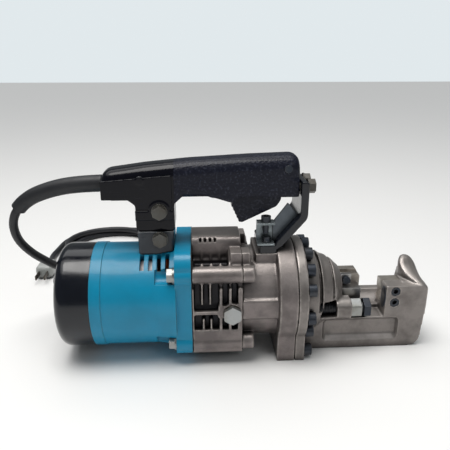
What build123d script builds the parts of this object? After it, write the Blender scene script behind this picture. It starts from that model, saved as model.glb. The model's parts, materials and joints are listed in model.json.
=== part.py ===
from build123d import *

import math
import os

# Portable electro-hydraulic rebar cutter for bars up to 19 mm.
# Millimetres, +Z up. +X runs along the tool from the motor to the jaw and -Y is
# the operator's left-hand side. The floor is z = 0, under the middle of the tool.

# ---- driving dimensions ----
AXIS_Z = 62.5  # height of the motor, cylinder and ram axis above the floor
BAR_Z = 59.0  # height of the middle of a bar in the jaw
REAR_X = -196.0  # back of the rear cover's screws
JAW_END_X = 196.0  # front of the jaw

COVER_X0 = -194.0
COVER_X1 = -158.1
COVER_R = 55.0
BARREL_R = 54.5
BARREL_BORE_R = 47.0
FLANGE_X0 = -74.0
CASE_X0 = -57.7
CASE_X1 = -6.6
CASE_HALF_Y = 51.0
CASE_TOP_Z = 122.5
CASE_BOTTOM_HALF_Y = 24.0
RIDGE_TOP_Z = 130.5  # the rounded ridge along the top of the pump case
RIDGE_HALF_Y = 19.0
SHOULDER_Z = 106.5  # top of the case beside the ridge
SLOT_XS = [-51.5, -42.2, -33.0, -23.8, -14.5]
NECK_R = 48.5
REAR_FLANGE_X0 = 30.3
REAR_FLANGE_X1 = 49.4
FRONT_FLANGE_X1 = 59.7
FLANGE_R = 58.0
FOOT_HALF_Y = 47.5
FOOT_TOP_Z = 34.0

BOLT_Y = 44.0  # the four long bolts that hold motor, pump and cylinder together
BOLT_Z = 37.5
M8_R = 4.0
M8_AF = 13.0

CYL_BORE_R = 36.0
CYL_BORE_X0 = 4.0
PISTON_X0 = 6.0
PISTON_X1 = 22.0
ROD_R = 16.0
ROD_X1 = 104.0
STROKE = 23.0  # travel of the ram
BUSH_R = 20.0
BUSH_X0 = 62.0
BUSH_X1 = 75.0
SPRING_RECESS_R = 30.0

ARM_HALF_Y = 26.0
ARM_TOP_Z = BAR_Z - 8.6
ANVIL_TOP_Z = 73.0
HOOK_TOP_Z = 96.0
ANVIL_X = 149.4  # face of the fixed cutter
ANVIL_BACK_X = 169.8
SET_SCREW_ZS = (BAR_Z + 7.6, BAR_Z - 5.3)
SHEAR_Y = 2.5  # the two cutters pass each other at this plane
CUTTER_FACE_X = 129.0  # face of the moving cutter at rest
CUTTER_TOP_Z = 80.0
CUTTER_SCREW_Z = 71.5
TONGUE_LOW_Z = 50.5
TONGUE_TOP_Z = 66.0
TROUGH_R = 20.6

STOPPER_Y = -26.5
STOPPER_Z = BAR_Z - 9.0
BOSS_X1 = 110.7
M12_R = 6.0
M12_AF = 19.0

PINION_TEETH = 8
GEAR_TEETH = 32
GEAR_MODULE = 1.25
CRANK_Z = AXIS_Z - GEAR_MODULE * (PINION_TEETH + GEAR_TEETH) / 2
ECCENTRICITY = 1.5
OUTLET_Z = 90.5  # the pressure passage from the pump block to the cylinder
RUNNING = 0.05  # radial clearance of a shaft that turns or slides in a bore
APART = 0.4  # gap between bodies that move past each other
TONGUE_X1 = ANVIL_X - STROKE - APART

GRIP_HALF_Y = 19.0
GRIP_EDGE_R = 7.0
SHELL_WALL = 3.0
GRIP_X0 = -145.4
GRIP_X1 = 53.0
TRIGGER_HALF_Y = 8.5
TRIGGER_PIVOT_X = 31.0
TRIGGER_PIVOT_Z = 172.5
TRIGGER_PIN_R = 2.0

HANDLE_SCREWS = [(-106, 191), (40, 200)]
OIL_PLUG_X = -17.0
OIL_PLUG_Z = 60.4
FRONT_BOLT_Z = 181.0

CORD_R = 4.5
GUARD_R = 7.6
CORD_ROUTE = [
    (-145.4, 0, 184),
    (-172, 0, 183.5),
    (-200, 0, 178),
    (-223.5, 1, 168),
    (-240.5, 4, 148.5),
    (-243, 12, 123.5),
    (-235.5, 25.5, 101.5),
    (-223.5, 44, 81),
    (-209, 67, 59),
    (-197, 92, 38),
    (-191.5, 118, 19),
    (-188.5, 143, 8),
    (-178, 167, 4.8),
    (-158, 188, 4.6),
    (-139, 206, 4.6),
    (-124, 225, 4.6),
]
GUARD_CORNERS = 3  # how many corners of the route the guard covers
COIL_X = -190.0
COIL_Y = 290.0
COIL_OUTER_X = 96.0
COIL_OUTER_Y = 86.0
COIL_INNER_X = 54.0
COIL_INNER_Y = 46.0
COIL_HEIGHT = 19.0
PLUG_X = -273.0
PLUG_Y = 187.0
TAIL_ROUTE = [
    (-273, 203, 9),
    (-275, 219, 8),
    (-279, 235, 5.5),
    (-281, 252, 4.6),
    (-279, 269, 4.6),
]


# ---- shapes that repeat ----
def box(x0, x1, y0, y1, z0, z1):
    """A block between two corners."""
    return Pos((x0 + x1) / 2, (y0 + y1) / 2, (z0 + z1) / 2) * Box(x1 - x0, y1 - y0, z1 - z0)


def rod_x(radius, x0, x1, y=0.0, z=AXIS_Z):
    """A cylinder along X."""
    return Pos((x0 + x1) / 2, y, z) * Rot(0, 90, 0) * Cylinder(radius, x1 - x0)


def rod_y(radius, y0, y1, x, z):
    """A cylinder along Y."""
    return Pos(x, (y0 + y1) / 2, z) * Rot(90, 0, 0) * Cylinder(radius, y1 - y0)


def rod_z(radius, z0, z1, x, y=0.0):
    """A cylinder along Z."""
    return Pos(x, y, (z0 + z1) / 2) * Cylinder(radius, z1 - z0)


def ring_x(outer, inner, x0, x1, y=0.0, z=AXIS_Z):
    """A tube along X."""
    return rod_x(outer, x0, x1, y, z) - rod_x(inner, x0 - 1, x1 + 1, y, z)


def prism_x(outline, x0, x1):
    """Extrudes an outline drawn in (Y, Z) along X."""
    return extrude(Plane.YZ.offset(x0) * outline, amount=x1 - x0)


def prism_y(outline, y0, y1):
    """Extrudes an outline drawn in (X, Z) along Y."""
    side = Plane(origin=(0, y1, 0), x_dir=(1, 0, 0), z_dir=(0, -1, 0))
    return extrude(side * outline, amount=y1 - y0)


def hexagon(across_flats):
    """A hexagon with its points up and down."""
    return Rot(0, 0, 90) * RegularPolygon(across_flats / math.sqrt(3), 6)


def turned(points):
    """A body of revolution about the tool's axis, from (x, radius) points."""
    return Pos(0, 0, AXIS_Z) * revolve(make_face(Polyline(*points, close=True)), Axis.X, 360)


def outline(corners):
    """A closed face from corners given as (across, up, corner radius)."""
    points = [(across, up) for across, up, radius in corners]
    radii = [radius for across, up, radius in corners]
    return make_face(FilletPolyline(*points, radius=radii, close=True))


def bolt_places():
    """The (y, z) places of the four long bolts."""
    return [(sy * BOLT_Y, AXIS_Z + sz * BOLT_Z) for sy in (-1, 1) for sz in (-1, 1)]


def one(shape):
    """The single solid that a shape is."""
    return shape.solids()[0] if len(shape.solids()) == 1 else shape


def group(shapes):
    """Separate solids that share a node."""
    return Compound(children=[s for shape in shapes for s in shape.solids()])


# ---- motor ----
def rear_cover():
    """The black cap over the commutator end, with a rounded back edge."""
    shell = rod_x(COVER_R, COVER_X0, COVER_X1)
    back_edge = shell.edges().filter_by(GeomType.CIRCLE).sort_by(Axis.X)[0]
    shell = fillet(back_edge, 10)
    shell -= rod_x(COVER_R - 4, COVER_X0 + 4, COVER_X1 + 1)
    for angle in (45, 135, 225, 315):
        y = 38 * math.cos(math.radians(angle))
        z = AXIS_Z + 38 * math.sin(math.radians(angle))
        shell += rod_x(4.5, COVER_X0 + 3, -176, y, z)
        shell -= rod_x(2.1, COVER_X0 - 1, -175, y, z)
    return one(shell)


def rear_cover_screws():
    """Four M4 screws through the cap into the bearing bracket."""
    screws = []
    for angle in (45, 135, 225, 315):
        y = 38 * math.cos(math.radians(angle))
        z = AXIS_Z + 38 * math.sin(math.radians(angle))
        screws.append(rod_x(4.0, REAR_X, COVER_X0, y, z) + rod_x(2.0, COVER_X0, -170, y, z))
    return group(screws)


def rear_bearing_bracket():
    """The inner end plate that holds the rear bearing and the brush holders."""
    plate = rod_x(COVER_R - 4.2, -176, -170)
    plate += rod_x(17, -182, -170)
    plate -= rod_x(14.0, -183, -173)
    plate -= rod_x(8.5, -184, -169)
    plate += ring_x(COVER_R - 4.2, COVER_R - 7.5, -170, -158.1)
    for angle in (45, 135, 225, 315):
        y = 38 * math.cos(math.radians(angle))
        z = AXIS_Z + 38 * math.sin(math.radians(angle))
        plate -= rod_x(2.0, -177, -169, y, z)
    for side in (-1, 1):
        plate -= box(-177, -169, -9, 9, AXIS_Z + side * 30 - 7, AXIS_Z + side * 30 + 7)
    return one(plate)


def motor_housing():
    """The blue barrel with its square front flange, vents and bearing seat."""
    shell = rod_x(BARREL_R, COVER_X1, FLANGE_X0)
    shell += rod_x(BARREL_R + 0.8, COVER_X1, -147.1)
    shell += turned([(-92, 0), (-92, BARREL_R), (FLANGE_X0 + 1, BARREL_R + 3), (FLANGE_X0 + 1, 0)])
    shell += prism_x(body_outline(3.0), FLANGE_X0, CASE_X0)
    for y, z in bolt_places():
        shell += rod_x(9.5, FLANGE_X0, CASE_X0, y, z)
    shell &= box(COVER_X1, CASE_X0, -80, 80, 0, 140)
    shell -= rod_x(BARREL_BORE_R, COVER_X1 - 1, -80)
    shell -= rod_x(42, -81, -72)
    shell -= rod_x(11.0, -72, -62)
    shell -= rod_x(8.0, -73, -56)
    shell -= rod_x(8.0, -66, -56, 0, CRANK_Z)
    for y, z in bolt_places():
        shell -= rod_x(M8_R + 0.3, FLANGE_X0 - 20, CASE_X0 + 1, y, z)
        shell -= rod_x(8.6, FLANGE_X0 - 20, FLANGE_X0, y, z)
    return one(shell - vent_slots())


def body_outline(bottom_z):
    """The end view that the housing's flange and the pump case share."""
    return outline(
        [
            (-CASE_BOTTOM_HALF_Y, bottom_z, 3),
            (CASE_BOTTOM_HALF_Y, bottom_z, 3),
            (CASE_HALF_Y, 16, 3),
            (CASE_HALF_Y, CASE_TOP_Z, 15),
            (-CASE_HALF_Y, CASE_TOP_Z, 15),
            (-CASE_HALF_Y, 16, 3),
        ]
    )


def vent_slots():
    """Four cooling slots on each side of the barrel, under the handle bracket."""
    slots = []
    for side in (-1, 1):
        for x in (-107, -98.5, -90, -81.5):
            slot = Pos(x, 0, AXIS_Z) * Rot(side * 32, 0, 0) * Pos(0, 0, 51) * Box(4.2, 19, 16)
            slots.append(slot)
    return slots


def case_gasket():
    """The thin gasket between the motor flange and the pump case."""
    gasket = prism_x(body_outline(3.0), CASE_X0, CASE_X0 + 0.6)
    gasket -= prism_x(Pos(0, AXIS_Z) * Rectangle(70, 80), CASE_X0 - 1, CASE_X0 + 1)
    for y, z in bolt_places():
        gasket -= rod_x(M8_R + 0.5, CASE_X0 - 1, CASE_X0 + 1, y, z)
    return one(gasket)


def stator_core():
    """The laminated stack of the stator with two pole gaps."""
    stack = ring_x(BARREL_BORE_R, 27.5, -140, -92)
    for side in (-1, 1):
        stack -= box(-141, -91, side * 33 - 5, side * 33 + 5, AXIS_Z - 26, AXIS_Z + 26)
    return one(stack)


def field_coils():
    """The two field windings, each a flat ring of wire through the pole gaps."""
    coils = []
    for side in (-1, 1):
        y0, y1 = sorted((side * 28.8, side * 37.2))
        loop = box(-148, -84, y0, y1, AXIS_Z - 25, AXIS_Z + 25)
        loop -= box(-140, -92, y0 - 1, y1 + 1, AXIS_Z - 17, AXIS_Z + 17)
        coils.append(loop)
    return group(coils)


def brush_holders():
    """Two square brass tubes that guide the brushes to the commutator."""
    holders = []
    for side in (-1, 1):
        y0, y1 = sorted((side * 18, side * 42))
        tube = box(-170, -158.4, y0, y1, AXIS_Z - 5.5, AXIS_Z + 5.5)
        tube -= box(-168.1, -159.9, y0 - 1, y1 + 1, AXIS_Z - 4, AXIS_Z + 4)
        holders.append(tube)
    return group(holders)


def carbon_brushes():
    """Two carbon brushes that press on the commutator."""
    brushes = []
    for side in (-1, 1):
        y0, y1 = sorted((side * (15 + APART), side * 34))
        brushes.append(box(-168.0, -160.0, y0, y1, AXIS_Z - 3.9, AXIS_Z + 3.9))
    return group(brushes)


def ball_bearing(outer, bore, x0, x1, z=AXIS_Z):
    """The two races and the balls of a deep groove bearing."""
    pitch = (outer + bore) / 2
    ball_r = (outer - bore) * 0.27
    middle = (x0 + x1) / 2
    races = [ring_x(outer, pitch + ball_r * 0.62, x0, x1, 0, z)]
    races.append(ring_x(pitch - ball_r * 0.62, bore, x0, x1, 0, z))
    groove = Pos(middle, 0, z) * Rot(0, 90, 0) * Torus(pitch, ball_r + 0.05)
    pieces = [race - groove for race in races]
    for i in range(7):
        angle = 2 * math.pi * i / 7
        y = pitch * math.cos(angle)
        pieces.append(Pos(middle, y, z + pitch * math.sin(angle)) * Sphere(ball_r))
    return pieces


def armature_bearings():
    """The ball bearings at the two ends of the armature."""
    rear = ball_bearing(14.0, 5.0 + RUNNING, -182, -173)
    front = ball_bearing(11.0, 5.0 + RUNNING, -72, -63)
    return group(rear + front)


def spur_gear(teeth, x0, x1, z, first_tooth_deg):
    """A spur gear blank with straight-sided teeth."""
    pitch_r = GEAR_MODULE * teeth / 2
    root_r = pitch_r - 1.2 * GEAR_MODULE
    tip_r = pitch_r + 0.85 * GEAR_MODULE
    gear = rod_x(root_r, x0, x1, 0, z)
    base_half, tip_half = 0.95, 0.45
    points = [(root_r - 0.5, -base_half), (tip_r, -tip_half), (tip_r, tip_half), (root_r - 0.5, base_half)]
    tooth = prism_x(make_face(Polyline(*points, close=True)), x0, x1)
    for i in range(teeth):
        angle = first_tooth_deg + 360 * i / teeth
        gear += Pos(0, 0, z) * Rot(angle, 0, 0) * tooth
    return gear


def armature_shaft():
    """The motor shaft with the pinion cut on its front end."""
    shaft = rod_x(5.0, -184, -56)
    shaft += spur_gear(PINION_TEETH, -56, -46, AXIS_Z, -90)
    return one(shaft)


def armature_core():
    """The armature's slotted lamination stack."""
    core = ring_x(26.5, 5.0, -140, -92)
    for i in range(12):
        slot = Pos(-116, 0, AXIS_Z) * Rot(30 * i, 0, 0) * Pos(0, 0, 25.5) * Box(50, 4, 6)
        core -= slot
    return one(core)


def armature_windings():
    """The copper end windings on both sides of the armature core."""
    return group([ring_x(24, 5.0, -148, -140), ring_x(24, 5.0, -92, -85)])


def commutator():
    """The ring of copper bars that the brushes run on."""
    bars = ring_x(15, 5.0, -169, -152)
    for i in range(18):
        bars -= Pos(-160.5, 0, AXIS_Z) * Rot(20 * i, 0, 0) * Pos(0, 0, 15) * Box(18, 0.8, 3)
    return one(bars)


def cooling_fan():
    """The fan that draws air through the motor."""
    fan = ring_x(9, 5.0, -83, -74)
    fan += ring_x(39, 8.5, -76, -74)
    for i in range(9):
        fan += Pos(-79, 0, AXIS_Z) * Rot(40 * i, 0, 0) * Pos(0, 0, 22) * Box(6, 1.6, 30)
    return one(fan)


def housing_bolts():
    """The four long M8 hex bolts from the motor flange to the cylinder."""
    bolts = []
    for y, z in bolt_places():
        head = prism_x(Pos(y, z) * hexagon(M8_AF), FLANGE_X0 - 7.6, FLANGE_X0 - 2)
        bolts.append(head + rod_x(M8_R, FLANGE_X0 - 3, 3.0, y, z))
    return group(bolts)


def housing_washers():
    """The washers under the heads of the long bolts."""
    return group([ring_x(8.2, M8_R, FLANGE_X0 - 2, FLANGE_X0, y, z) for y, z in bolt_places()])


# ---- pump ----
def pump_case():
    """The finned aluminium case around the pump, open towards the motor."""
    case = prism_x(body_outline(0.0), CASE_X0 + 0.6, CASE_X1)
    for side in (-1, 1):
        y0, y1 = sorted((side * RIDGE_HALF_Y, side * 60))
        case -= box(CASE_X0 - 1, CASE_X1 + 1, y0, y1, SHOULDER_Z, 140)
    ridge = Pos(0, RIDGE_TOP_Z - 12) * RectangleRounded(2 * RIDGE_HALF_Y + 2, 24, 7)
    case += prism_x(ridge, CASE_X0 + 0.6, CASE_X1)
    for y, z in bolt_places():
        case += rod_x(8.5, CASE_X0 + 0.6, CASE_X1, y, z)
    case -= box(CASE_X0 - 1, -14, -38, 38, 14, AXIS_Z + 38)
    case -= rod_x(8.0, -15, -9.5, 0, CRANK_Z)
    case = case - case_slots() - top_slots()
    for side in (-1, 1):
        case += top_fins(side)
        y0, y1 = sorted((side * 40, side * 51.5))
        case += rod_y(10.2, y0, y1, OIL_PLUG_X, OIL_PLUG_Z)
        y0, y1 = sorted((side * 37, side * 53))
        case -= rod_y(5.0, y0, y1, OIL_PLUG_X, OIL_PLUG_Z)
    for y, z in bolt_places():
        case -= rod_x(M8_R + 0.3, CASE_X0 - 1, CASE_X1 + 1, y, z)
    return one(case)


def case_slots():
    """The cooling recesses between the upright fins on both sides of the case."""
    cuts = []
    for side in (-1, 1):
        y0, y1 = sorted((side * 43, side * 60))
        for x in SLOT_XS:
            for low, high in ((BAR_Z + 9, BAR_Z + 34), (BAR_Z - 24, BAR_Z - 3)):
                slot = Pos(x, (low + high) / 2) * RectangleRounded(6.4, high - low, 2.5)
                cuts.append(prism_y(slot, y0, y1))
    return cuts


def top_slots():
    """The cooling recesses beside the ridge, and the small vents in the ridge."""
    cuts = []
    for side in (-1, 1):
        y0, y1 = sorted((side * (RIDGE_HALF_Y + 1.5), side * 34.5))
        for x in SLOT_XS:
            cuts.append(box(x - 3.2, x + 3.2, y0, y1, AXIS_Z + 40, SHOULDER_Z + 2))
        y0, y1 = sorted((side * (RIDGE_HALF_Y - 5), side * (RIDGE_HALF_Y + 3)))
        for x in (-48, -43, -38, -33):
            cuts.append(box(x - 1.2, x + 1.2, y0, y1, RIDGE_TOP_Z - 6, RIDGE_TOP_Z - 1.5))
    return cuts


def top_fins(side):
    """The upright fins that slope down from the ridge to the upper bolt bosses."""
    points = [(RIDGE_HALF_Y - 1, SHOULDER_Z - 2), (RIDGE_HALF_Y - 1, SHOULDER_Z + 11)]
    points += [(RIDGE_HALF_Y + 5, SHOULDER_Z + 11), (44, SHOULDER_Z + 1), (44, SHOULDER_Z - 2)]
    face = make_face(Polyline(*[(side * y, z) for y, z in points], close=True))
    middles = [(x0 + x1) / 2 for x0, x1 in zip(SLOT_XS, SLOT_XS[1:])]
    return [prism_x(face, x - 1.1, x + 1.1) for x in middles]


def drive_gear():
    """The large gear that the motor pinion turns."""
    gear = spur_gear(GEAR_TEETH, -56, -47, CRANK_Z, 90 + 180 / GEAR_TEETH)
    gear -= rod_x(6.0, -57, -46, 0, CRANK_Z)
    return one(gear)


def eccentric_shaft():
    """The crankshaft whose off-centre journal drives the pump plunger."""
    shaft = rod_x(5.0, -65, -10, 0, CRANK_Z)
    shaft += rod_x(6.0, -56, -40, 0, CRANK_Z)
    shaft += rod_x(9.0, -37, -25, 0, CRANK_Z + ECCENTRICITY)
    return one(shaft)


def eccentric_bearing():
    """The needle bearing on the off-centre journal."""
    return one(ring_x(13.0, 9.0, -36, -26, 0, CRANK_Z + ECCENTRICITY))


def crank_bearings():
    """The bushes at the two ends of the crankshaft."""
    rear = ring_x(8.0, 5.0 + RUNNING, -65.5, -58.2, 0, CRANK_Z)
    front = ring_x(8.0, 5.0 + RUNNING, -15, -9.8, 0, CRANK_Z)
    return group([rear, front])


def pump_block():
    """The steel block that the plunger slides in, with its oil passages."""
    block = box(-43, -19, -18, 18, 66, 96)
    block -= rod_z(5.0 + RUNNING, 60, 87.3, -31)
    block -= rod_z(2.0, 86, 97, -31)
    block -= rod_x(2.5, -32, -18, 0, OUTLET_Z)
    block -= rod_x(4.6, -25, -18, 0, OUTLET_Z)
    block -= rod_y(2.5, -19, 0, -31, 84)
    block -= rod_y(4.6, -19, -12, -31, 84)
    return one(block)


def pump_plunger():
    """The plunger, resting just above the eccentric, with its spring collar."""
    foot_z = CRANK_Z + ECCENTRICITY + 13.0 + APART
    return one(rod_z(5.0, foot_z, 82, -31) + rod_z(8.5, foot_z, foot_z + 2.0, -31))


def plunger_spring():
    """The spring that keeps the plunger on the eccentric, as a plain sleeve."""
    foot_z = CRANK_Z + ECCENTRICITY + 13.0 + APART
    return one(rod_z(8.0, foot_z + 2.0, 66, -31) - rod_z(6.2, 50, 67, -31))


def check_valve_balls():
    """The inlet and outlet balls of the pump."""
    return group([Pos(-21.7, 0, OUTLET_Z) * Sphere(3.2), Pos(-31, -15.2, 84) * Sphere(3.2)])


def oil_plug():
    """The hex plug of the oil filler on the left side."""
    head = prism_y(Pos(OIL_PLUG_X, OIL_PLUG_Z) * hexagon(17.0), -58.0, -53.0)
    head &= rod_y(9.4, -61, -51, OIL_PLUG_X, OIL_PLUG_Z)
    return one(head + rod_y(5.0, -54, -42, OIL_PLUG_X, OIL_PLUG_Z))


def plug_washer():
    """The sealing washer under the oil plug."""
    washer = rod_y(9.2, -53.0, -51.5, OIL_PLUG_X, OIL_PLUG_Z)
    return one(washer - rod_y(5.0, -54, -51, OIL_PLUG_X, OIL_PLUG_Z))


def oil_bladder():
    """The rubber bladder that makes up for the oil that the ram takes."""
    bag = box(-50, -20, -36, -22, 66, 94)
    return one(fillet(bag.edges(), 5))


# ---- cylinder and ram ----
def flange_outline():
    """The round flange with its straight-sided foot."""
    disc = Pos(0, AXIS_Z) * Circle(FLANGE_R)
    foot = Pos(0, FOOT_TOP_Z / 2) * Rectangle(2 * FOOT_HALF_Y, FOOT_TOP_Z)
    return (disc + foot) & (Pos(0, 75) * Rectangle(140, 150))


def flange_bolt_places():
    """The (y, z) places of the bolts around the flange."""
    angles = (22, 45, 67.5, 90, 112.5, 135, 158, 192, 214, -12, -34)
    places = []
    for angle in angles:
        y = 52.0 * math.cos(math.radians(angle))
        places.append((y, AXIS_Z + 52.0 * math.sin(math.radians(angle))))
    return places + [(-40.0, 9.0), (40.0, 9.0)]


def cylinder():
    """The cast cylinder: neck, flange with foot, bosses and handle pad."""
    body = rod_x(NECK_R, CASE_X1, REAR_FLANGE_X0 + 1)
    body += prism_x(flange_outline(), REAR_FLANGE_X0, REAR_FLANGE_X1)
    body += box(8, REAR_FLANGE_X0 + 1, -25.5, 25.5, AXIS_Z + 20, 113.5)
    for side in (-1, 1):
        y0, y1 = sorted((side * 40, side * 51))
        rib = box(CASE_X1, REAR_FLANGE_X0 + 1, y0, y1, BAR_Z - 7, BAR_Z + 15)
        body += fillet(rib.edges().filter_by(Axis.X), 3)
    for y, z in bolt_places():
        body += rod_x(8.5, CASE_X1, 5.4, y, z)
        body += box(CASE_X1, 5.4, min(y, y * 0.6), max(y, y * 0.6), z - 6, z + 6)
    body &= box(CASE_X1, REAR_FLANGE_X1, -70, 70, 0, 140)
    body -= box(REAR_FLANGE_X0 - 0.5, 39, -25.8, 25.8, 117.0, 140)
    body -= rod_x(CYL_BORE_R, CYL_BORE_X0, REAR_FLANGE_X1 + 1)
    body -= ring_x(42.2, 38.8, REAR_FLANGE_X1 - 2.6, REAR_FLANGE_X1 + 1)
    body -= rod_x(3.0, CASE_X1 - 1, CYL_BORE_X0 + 1, 0, OUTLET_Z)
    for y, z in bolt_places():
        body -= rod_x(M8_R, CASE_X1 - 1, 3.0, y, z)
    for y, z in flange_bolt_places():
        body -= rod_x(M8_R, REAR_FLANGE_X1 - 12, REAR_FLANGE_X1 + 1, y, z)
    for y in (-18, 18):
        body -= rod_z(3.0, 104, 114, 20, y)
    return one(body)


def cylinder_seal():
    """The O-ring between the cylinder and the jaw frame."""
    ring = Pos(REAR_FLANGE_X1 - 1.3, 0, AXIS_Z) * Rot(0, 90, 0) * Torus(40.5, 1.25)
    return one(ring)


def ram():
    """The piston and its rod, with a flat tongue and a seat for the cutter."""
    body = rod_x(CYL_BORE_R - RUNNING, PISTON_X0, PISTON_X1)
    body -= ring_x(CYL_BORE_R + 1, CYL_BORE_R - 4, 11, 16)
    body += rod_x(ROD_R, PISTON_X1, ROD_X1)
    body += box(ROD_X1 - 1, TONGUE_X1, -13, SHEAR_Y + APART, TONGUE_LOW_Z, TONGUE_TOP_Z)
    body += box(ROD_X1 - 1, 118, -2, SHEAR_Y + APART, TONGUE_LOW_Z, AXIS_Z + 15)
    body -= rod_y(2.6, -3, 4, 112, CUTTER_SCREW_Z)
    return one(body)


def piston_seal():
    """The seal ring in the piston's groove."""
    return one(ring_x(CYL_BORE_R - RUNNING, CYL_BORE_R - 4, 11, 16))


def return_spring():
    """The spring that pushes the ram back, as a plain sleeve."""
    return one(ring_x(28.0, 21.0, PISTON_X1, BUSH_X0))


def ram_bush():
    """The bronze bush that guides the ram in the jaw frame."""
    return one(ring_x(BUSH_R, ROD_R + RUNNING, BUSH_X0, BUSH_X1))


def moving_cutter():
    """The hardened block that the ram pushes past the fixed cutter."""
    points = [(ROD_X1, 51.5), (CUTTER_FACE_X - 2, 51.5), (CUTTER_FACE_X, 56)]
    points += [(CUTTER_FACE_X, CUTTER_TOP_Z - 7), (CUTTER_FACE_X - 4, CUTTER_TOP_Z)]
    points += [(ROD_X1, CUTTER_TOP_Z)]
    block = prism_y(make_face(Polyline(*points, close=True)), SHEAR_Y + APART, 16)
    block -= box(100, 130, SHEAR_Y, 8, CUTTER_TOP_Z - 4.5, CUTTER_TOP_Z + 1)
    return one(block - rod_y(2.5, 0, 12, 112, CUTTER_SCREW_Z))


def moving_cutter_screw():
    """The screw that holds the cutter on the ram."""
    shank = rod_y(2.5, -3, 12, 112, CUTTER_SCREW_Z)
    return one(shank + rod_y(4.4, -6, -2, 112, CUTTER_SCREW_Z))


# ---- jaw frame ----
def jaw_side_outline():
    """The jaw frame's outline from the side, without its hook."""
    return outline(
        [
            (52, 0.0, 0),
            (JAW_END_X - 4, 0.0, 12),
            (JAW_END_X, BAR_Z - 8, 30),
            (JAW_END_X - 1.5, ANVIL_TOP_Z, 6),
            (ANVIL_X, ANVIL_TOP_Z, 1),
            (ANVIL_X, ARM_TOP_Z, 1),
            (52, ARM_TOP_Z, 0),
        ]
    )


def hook():
    """The tall hook on the far side, behind the moving cutter's path."""
    side = outline(
        [
            (ANVIL_BACK_X, 30, 0),
            (ANVIL_BACK_X, HOOK_TOP_Z - 4, 5),
            (177, HOOK_TOP_Z, 5),
            (189, HOOK_TOP_Z - 13.5, 14),
            (JAW_END_X - 1, ANVIL_TOP_Z - 1, 6),
            (JAW_END_X, 48, 10),
            (JAW_END_X - 3, 30, 0),
        ]
    )
    end_view = outline(
        [
            (26, 20, 0),
            (26, HOOK_TOP_Z - 10, 10),
            (13, HOOK_TOP_Z + 1, 6),
            (4, HOOK_TOP_Z + 1, 3),
            (-2, ANVIL_TOP_Z + 9, 14),
            (-13, ANVIL_TOP_Z + 1.5, 10),
            (-26, ANVIL_TOP_Z - 1.5, 3),
            (-26, 20, 0),
        ]
    )
    slant = [(ANVIL_BACK_X - 1, SHEAR_Y), (ANVIL_BACK_X + 11, 27), (ANVIL_BACK_X - 1, 27)]
    corner = Pos(0, 0, ARM_TOP_Z) * extrude(make_face(Polyline(*slant, close=True)), 100)
    return (prism_y(side, -26, 26) & prism_x(end_view, 160, 210)) - corner


def c_frame():
    """The forged jaw frame: flange, ribbed cone, lower arm, anvil and hook."""
    frame = prism_x(flange_outline(), REAR_FLANGE_X1, FRONT_FLANGE_X1)
    cone = turned([(55, 0), (55, 48), (62, 47.5), (76, 43), (82, 38), (84, 36.5), (84, 0)])
    cone += turned([(80, 0), (80, 39), (88, 36.5), (95, 32), (100, 27), (102.5, 25), (102.5, 0)])
    frame += cone
    frame += prism_y(jaw_side_outline(), -ARM_HALF_Y, ARM_HALF_Y)
    frame += hook()
    frame += stopper_boss()
    frame &= box(REAR_FLANGE_X1, JAW_END_X, -70, 70, 0, 140)
    frame -= box(ANVIL_X - 1, ANVIL_BACK_X, SHEAR_Y, 30, ARM_TOP_Z, 140)
    frame -= rod_x(TROUGH_R, 102.5, ANVIL_X)
    frame -= rod_x(TROUGH_R, ANVIL_X - 1, ANVIL_BACK_X) & box(140, 180, SHEAR_Y, 30, 0, 140)
    frame -= near_slope()
    frame -= fixed_cutter_seat()
    frame -= side_pockets()
    frame -= rod_x(SPRING_RECESS_R, REAR_FLANGE_X1 - 1, BUSH_X0)
    frame -= rod_x(BUSH_R, BUSH_X0 - 1, BUSH_X1)
    frame -= rod_x(ROD_R + 0.4, BUSH_X1 - 1, 103)
    frame -= box(76.5, 94.5, -40, -15.5, STOPPER_Z - 6.5, STOPPER_Z + 6.5)
    frame -= rod_x(M12_R + RUNNING, 90, 112, STOPPER_Y, STOPPER_Z)
    for y, z in flange_bolt_places():
        frame -= rod_x(M8_R + 0.3, REAR_FLANGE_X1 - 1, FRONT_FLANGE_X1 + 1, y, z)
        frame -= rod_x(7.0, FRONT_FLANGE_X1, 70, y, z)
    for z in SET_SCREW_ZS:
        frame -= rod_y(5.0, -27, -10, 160, z)
    return one(frame)


def near_slope():
    """The cut that lowers the near side of the mouth below the bar."""
    points = [(-27, ARM_TOP_Z - 13), (-8, ARM_TOP_Z - 12), (-8, ARM_TOP_Z + 1), (-27, ARM_TOP_Z + 1)]
    return prism_x(make_face(Polyline(*points, close=True)), BOSS_X1, ANVIL_X)


def stopper_boss():
    """The boss on the left side that carries the bar stopper."""
    outline = Pos(STOPPER_Y + 2, STOPPER_Z) * RectangleRounded(26, 23, 9)
    boss = prism_x(outline, 56, BOSS_X1)
    return boss + box(62, BOSS_X1, -22, -8, STOPPER_Z - 12, STOPPER_Z + 12)


def side_pockets():
    """The long shallow pocket on each side of the lower arm."""
    cuts = []
    for side in (-1, 1):
        outline = Pos(125, 22.5) * RectangleRounded(84, 27, 5)
        face = side * ARM_HALF_Y
        floor = side * (ARM_HALF_Y - 5)
        wide = Plane(origin=(0, face, 0), x_dir=(1, 0, 0), z_dir=(0, -1, 0)) * outline
        small = Pos(125, 23.5) * RectangleRounded(78, 18, 3)
        deep = Plane(origin=(0, floor, 0), x_dir=(1, 0, 0), z_dir=(0, -1, 0)) * small
        cuts.append(loft([wide, deep]))
    return cuts


def fixed_cutter_outline(grow=0.0):
    """The fixed cutter's outline from the side, with its round lower end."""
    block = Pos((ANVIL_X + ANVIL_BACK_X) / 2, BAR_Z + 2.5) * Rectangle(20.4, 23 + grow)
    return block + Pos(ANVIL_X + 10.2, BAR_Z - 9) * Circle(10.2)


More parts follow.
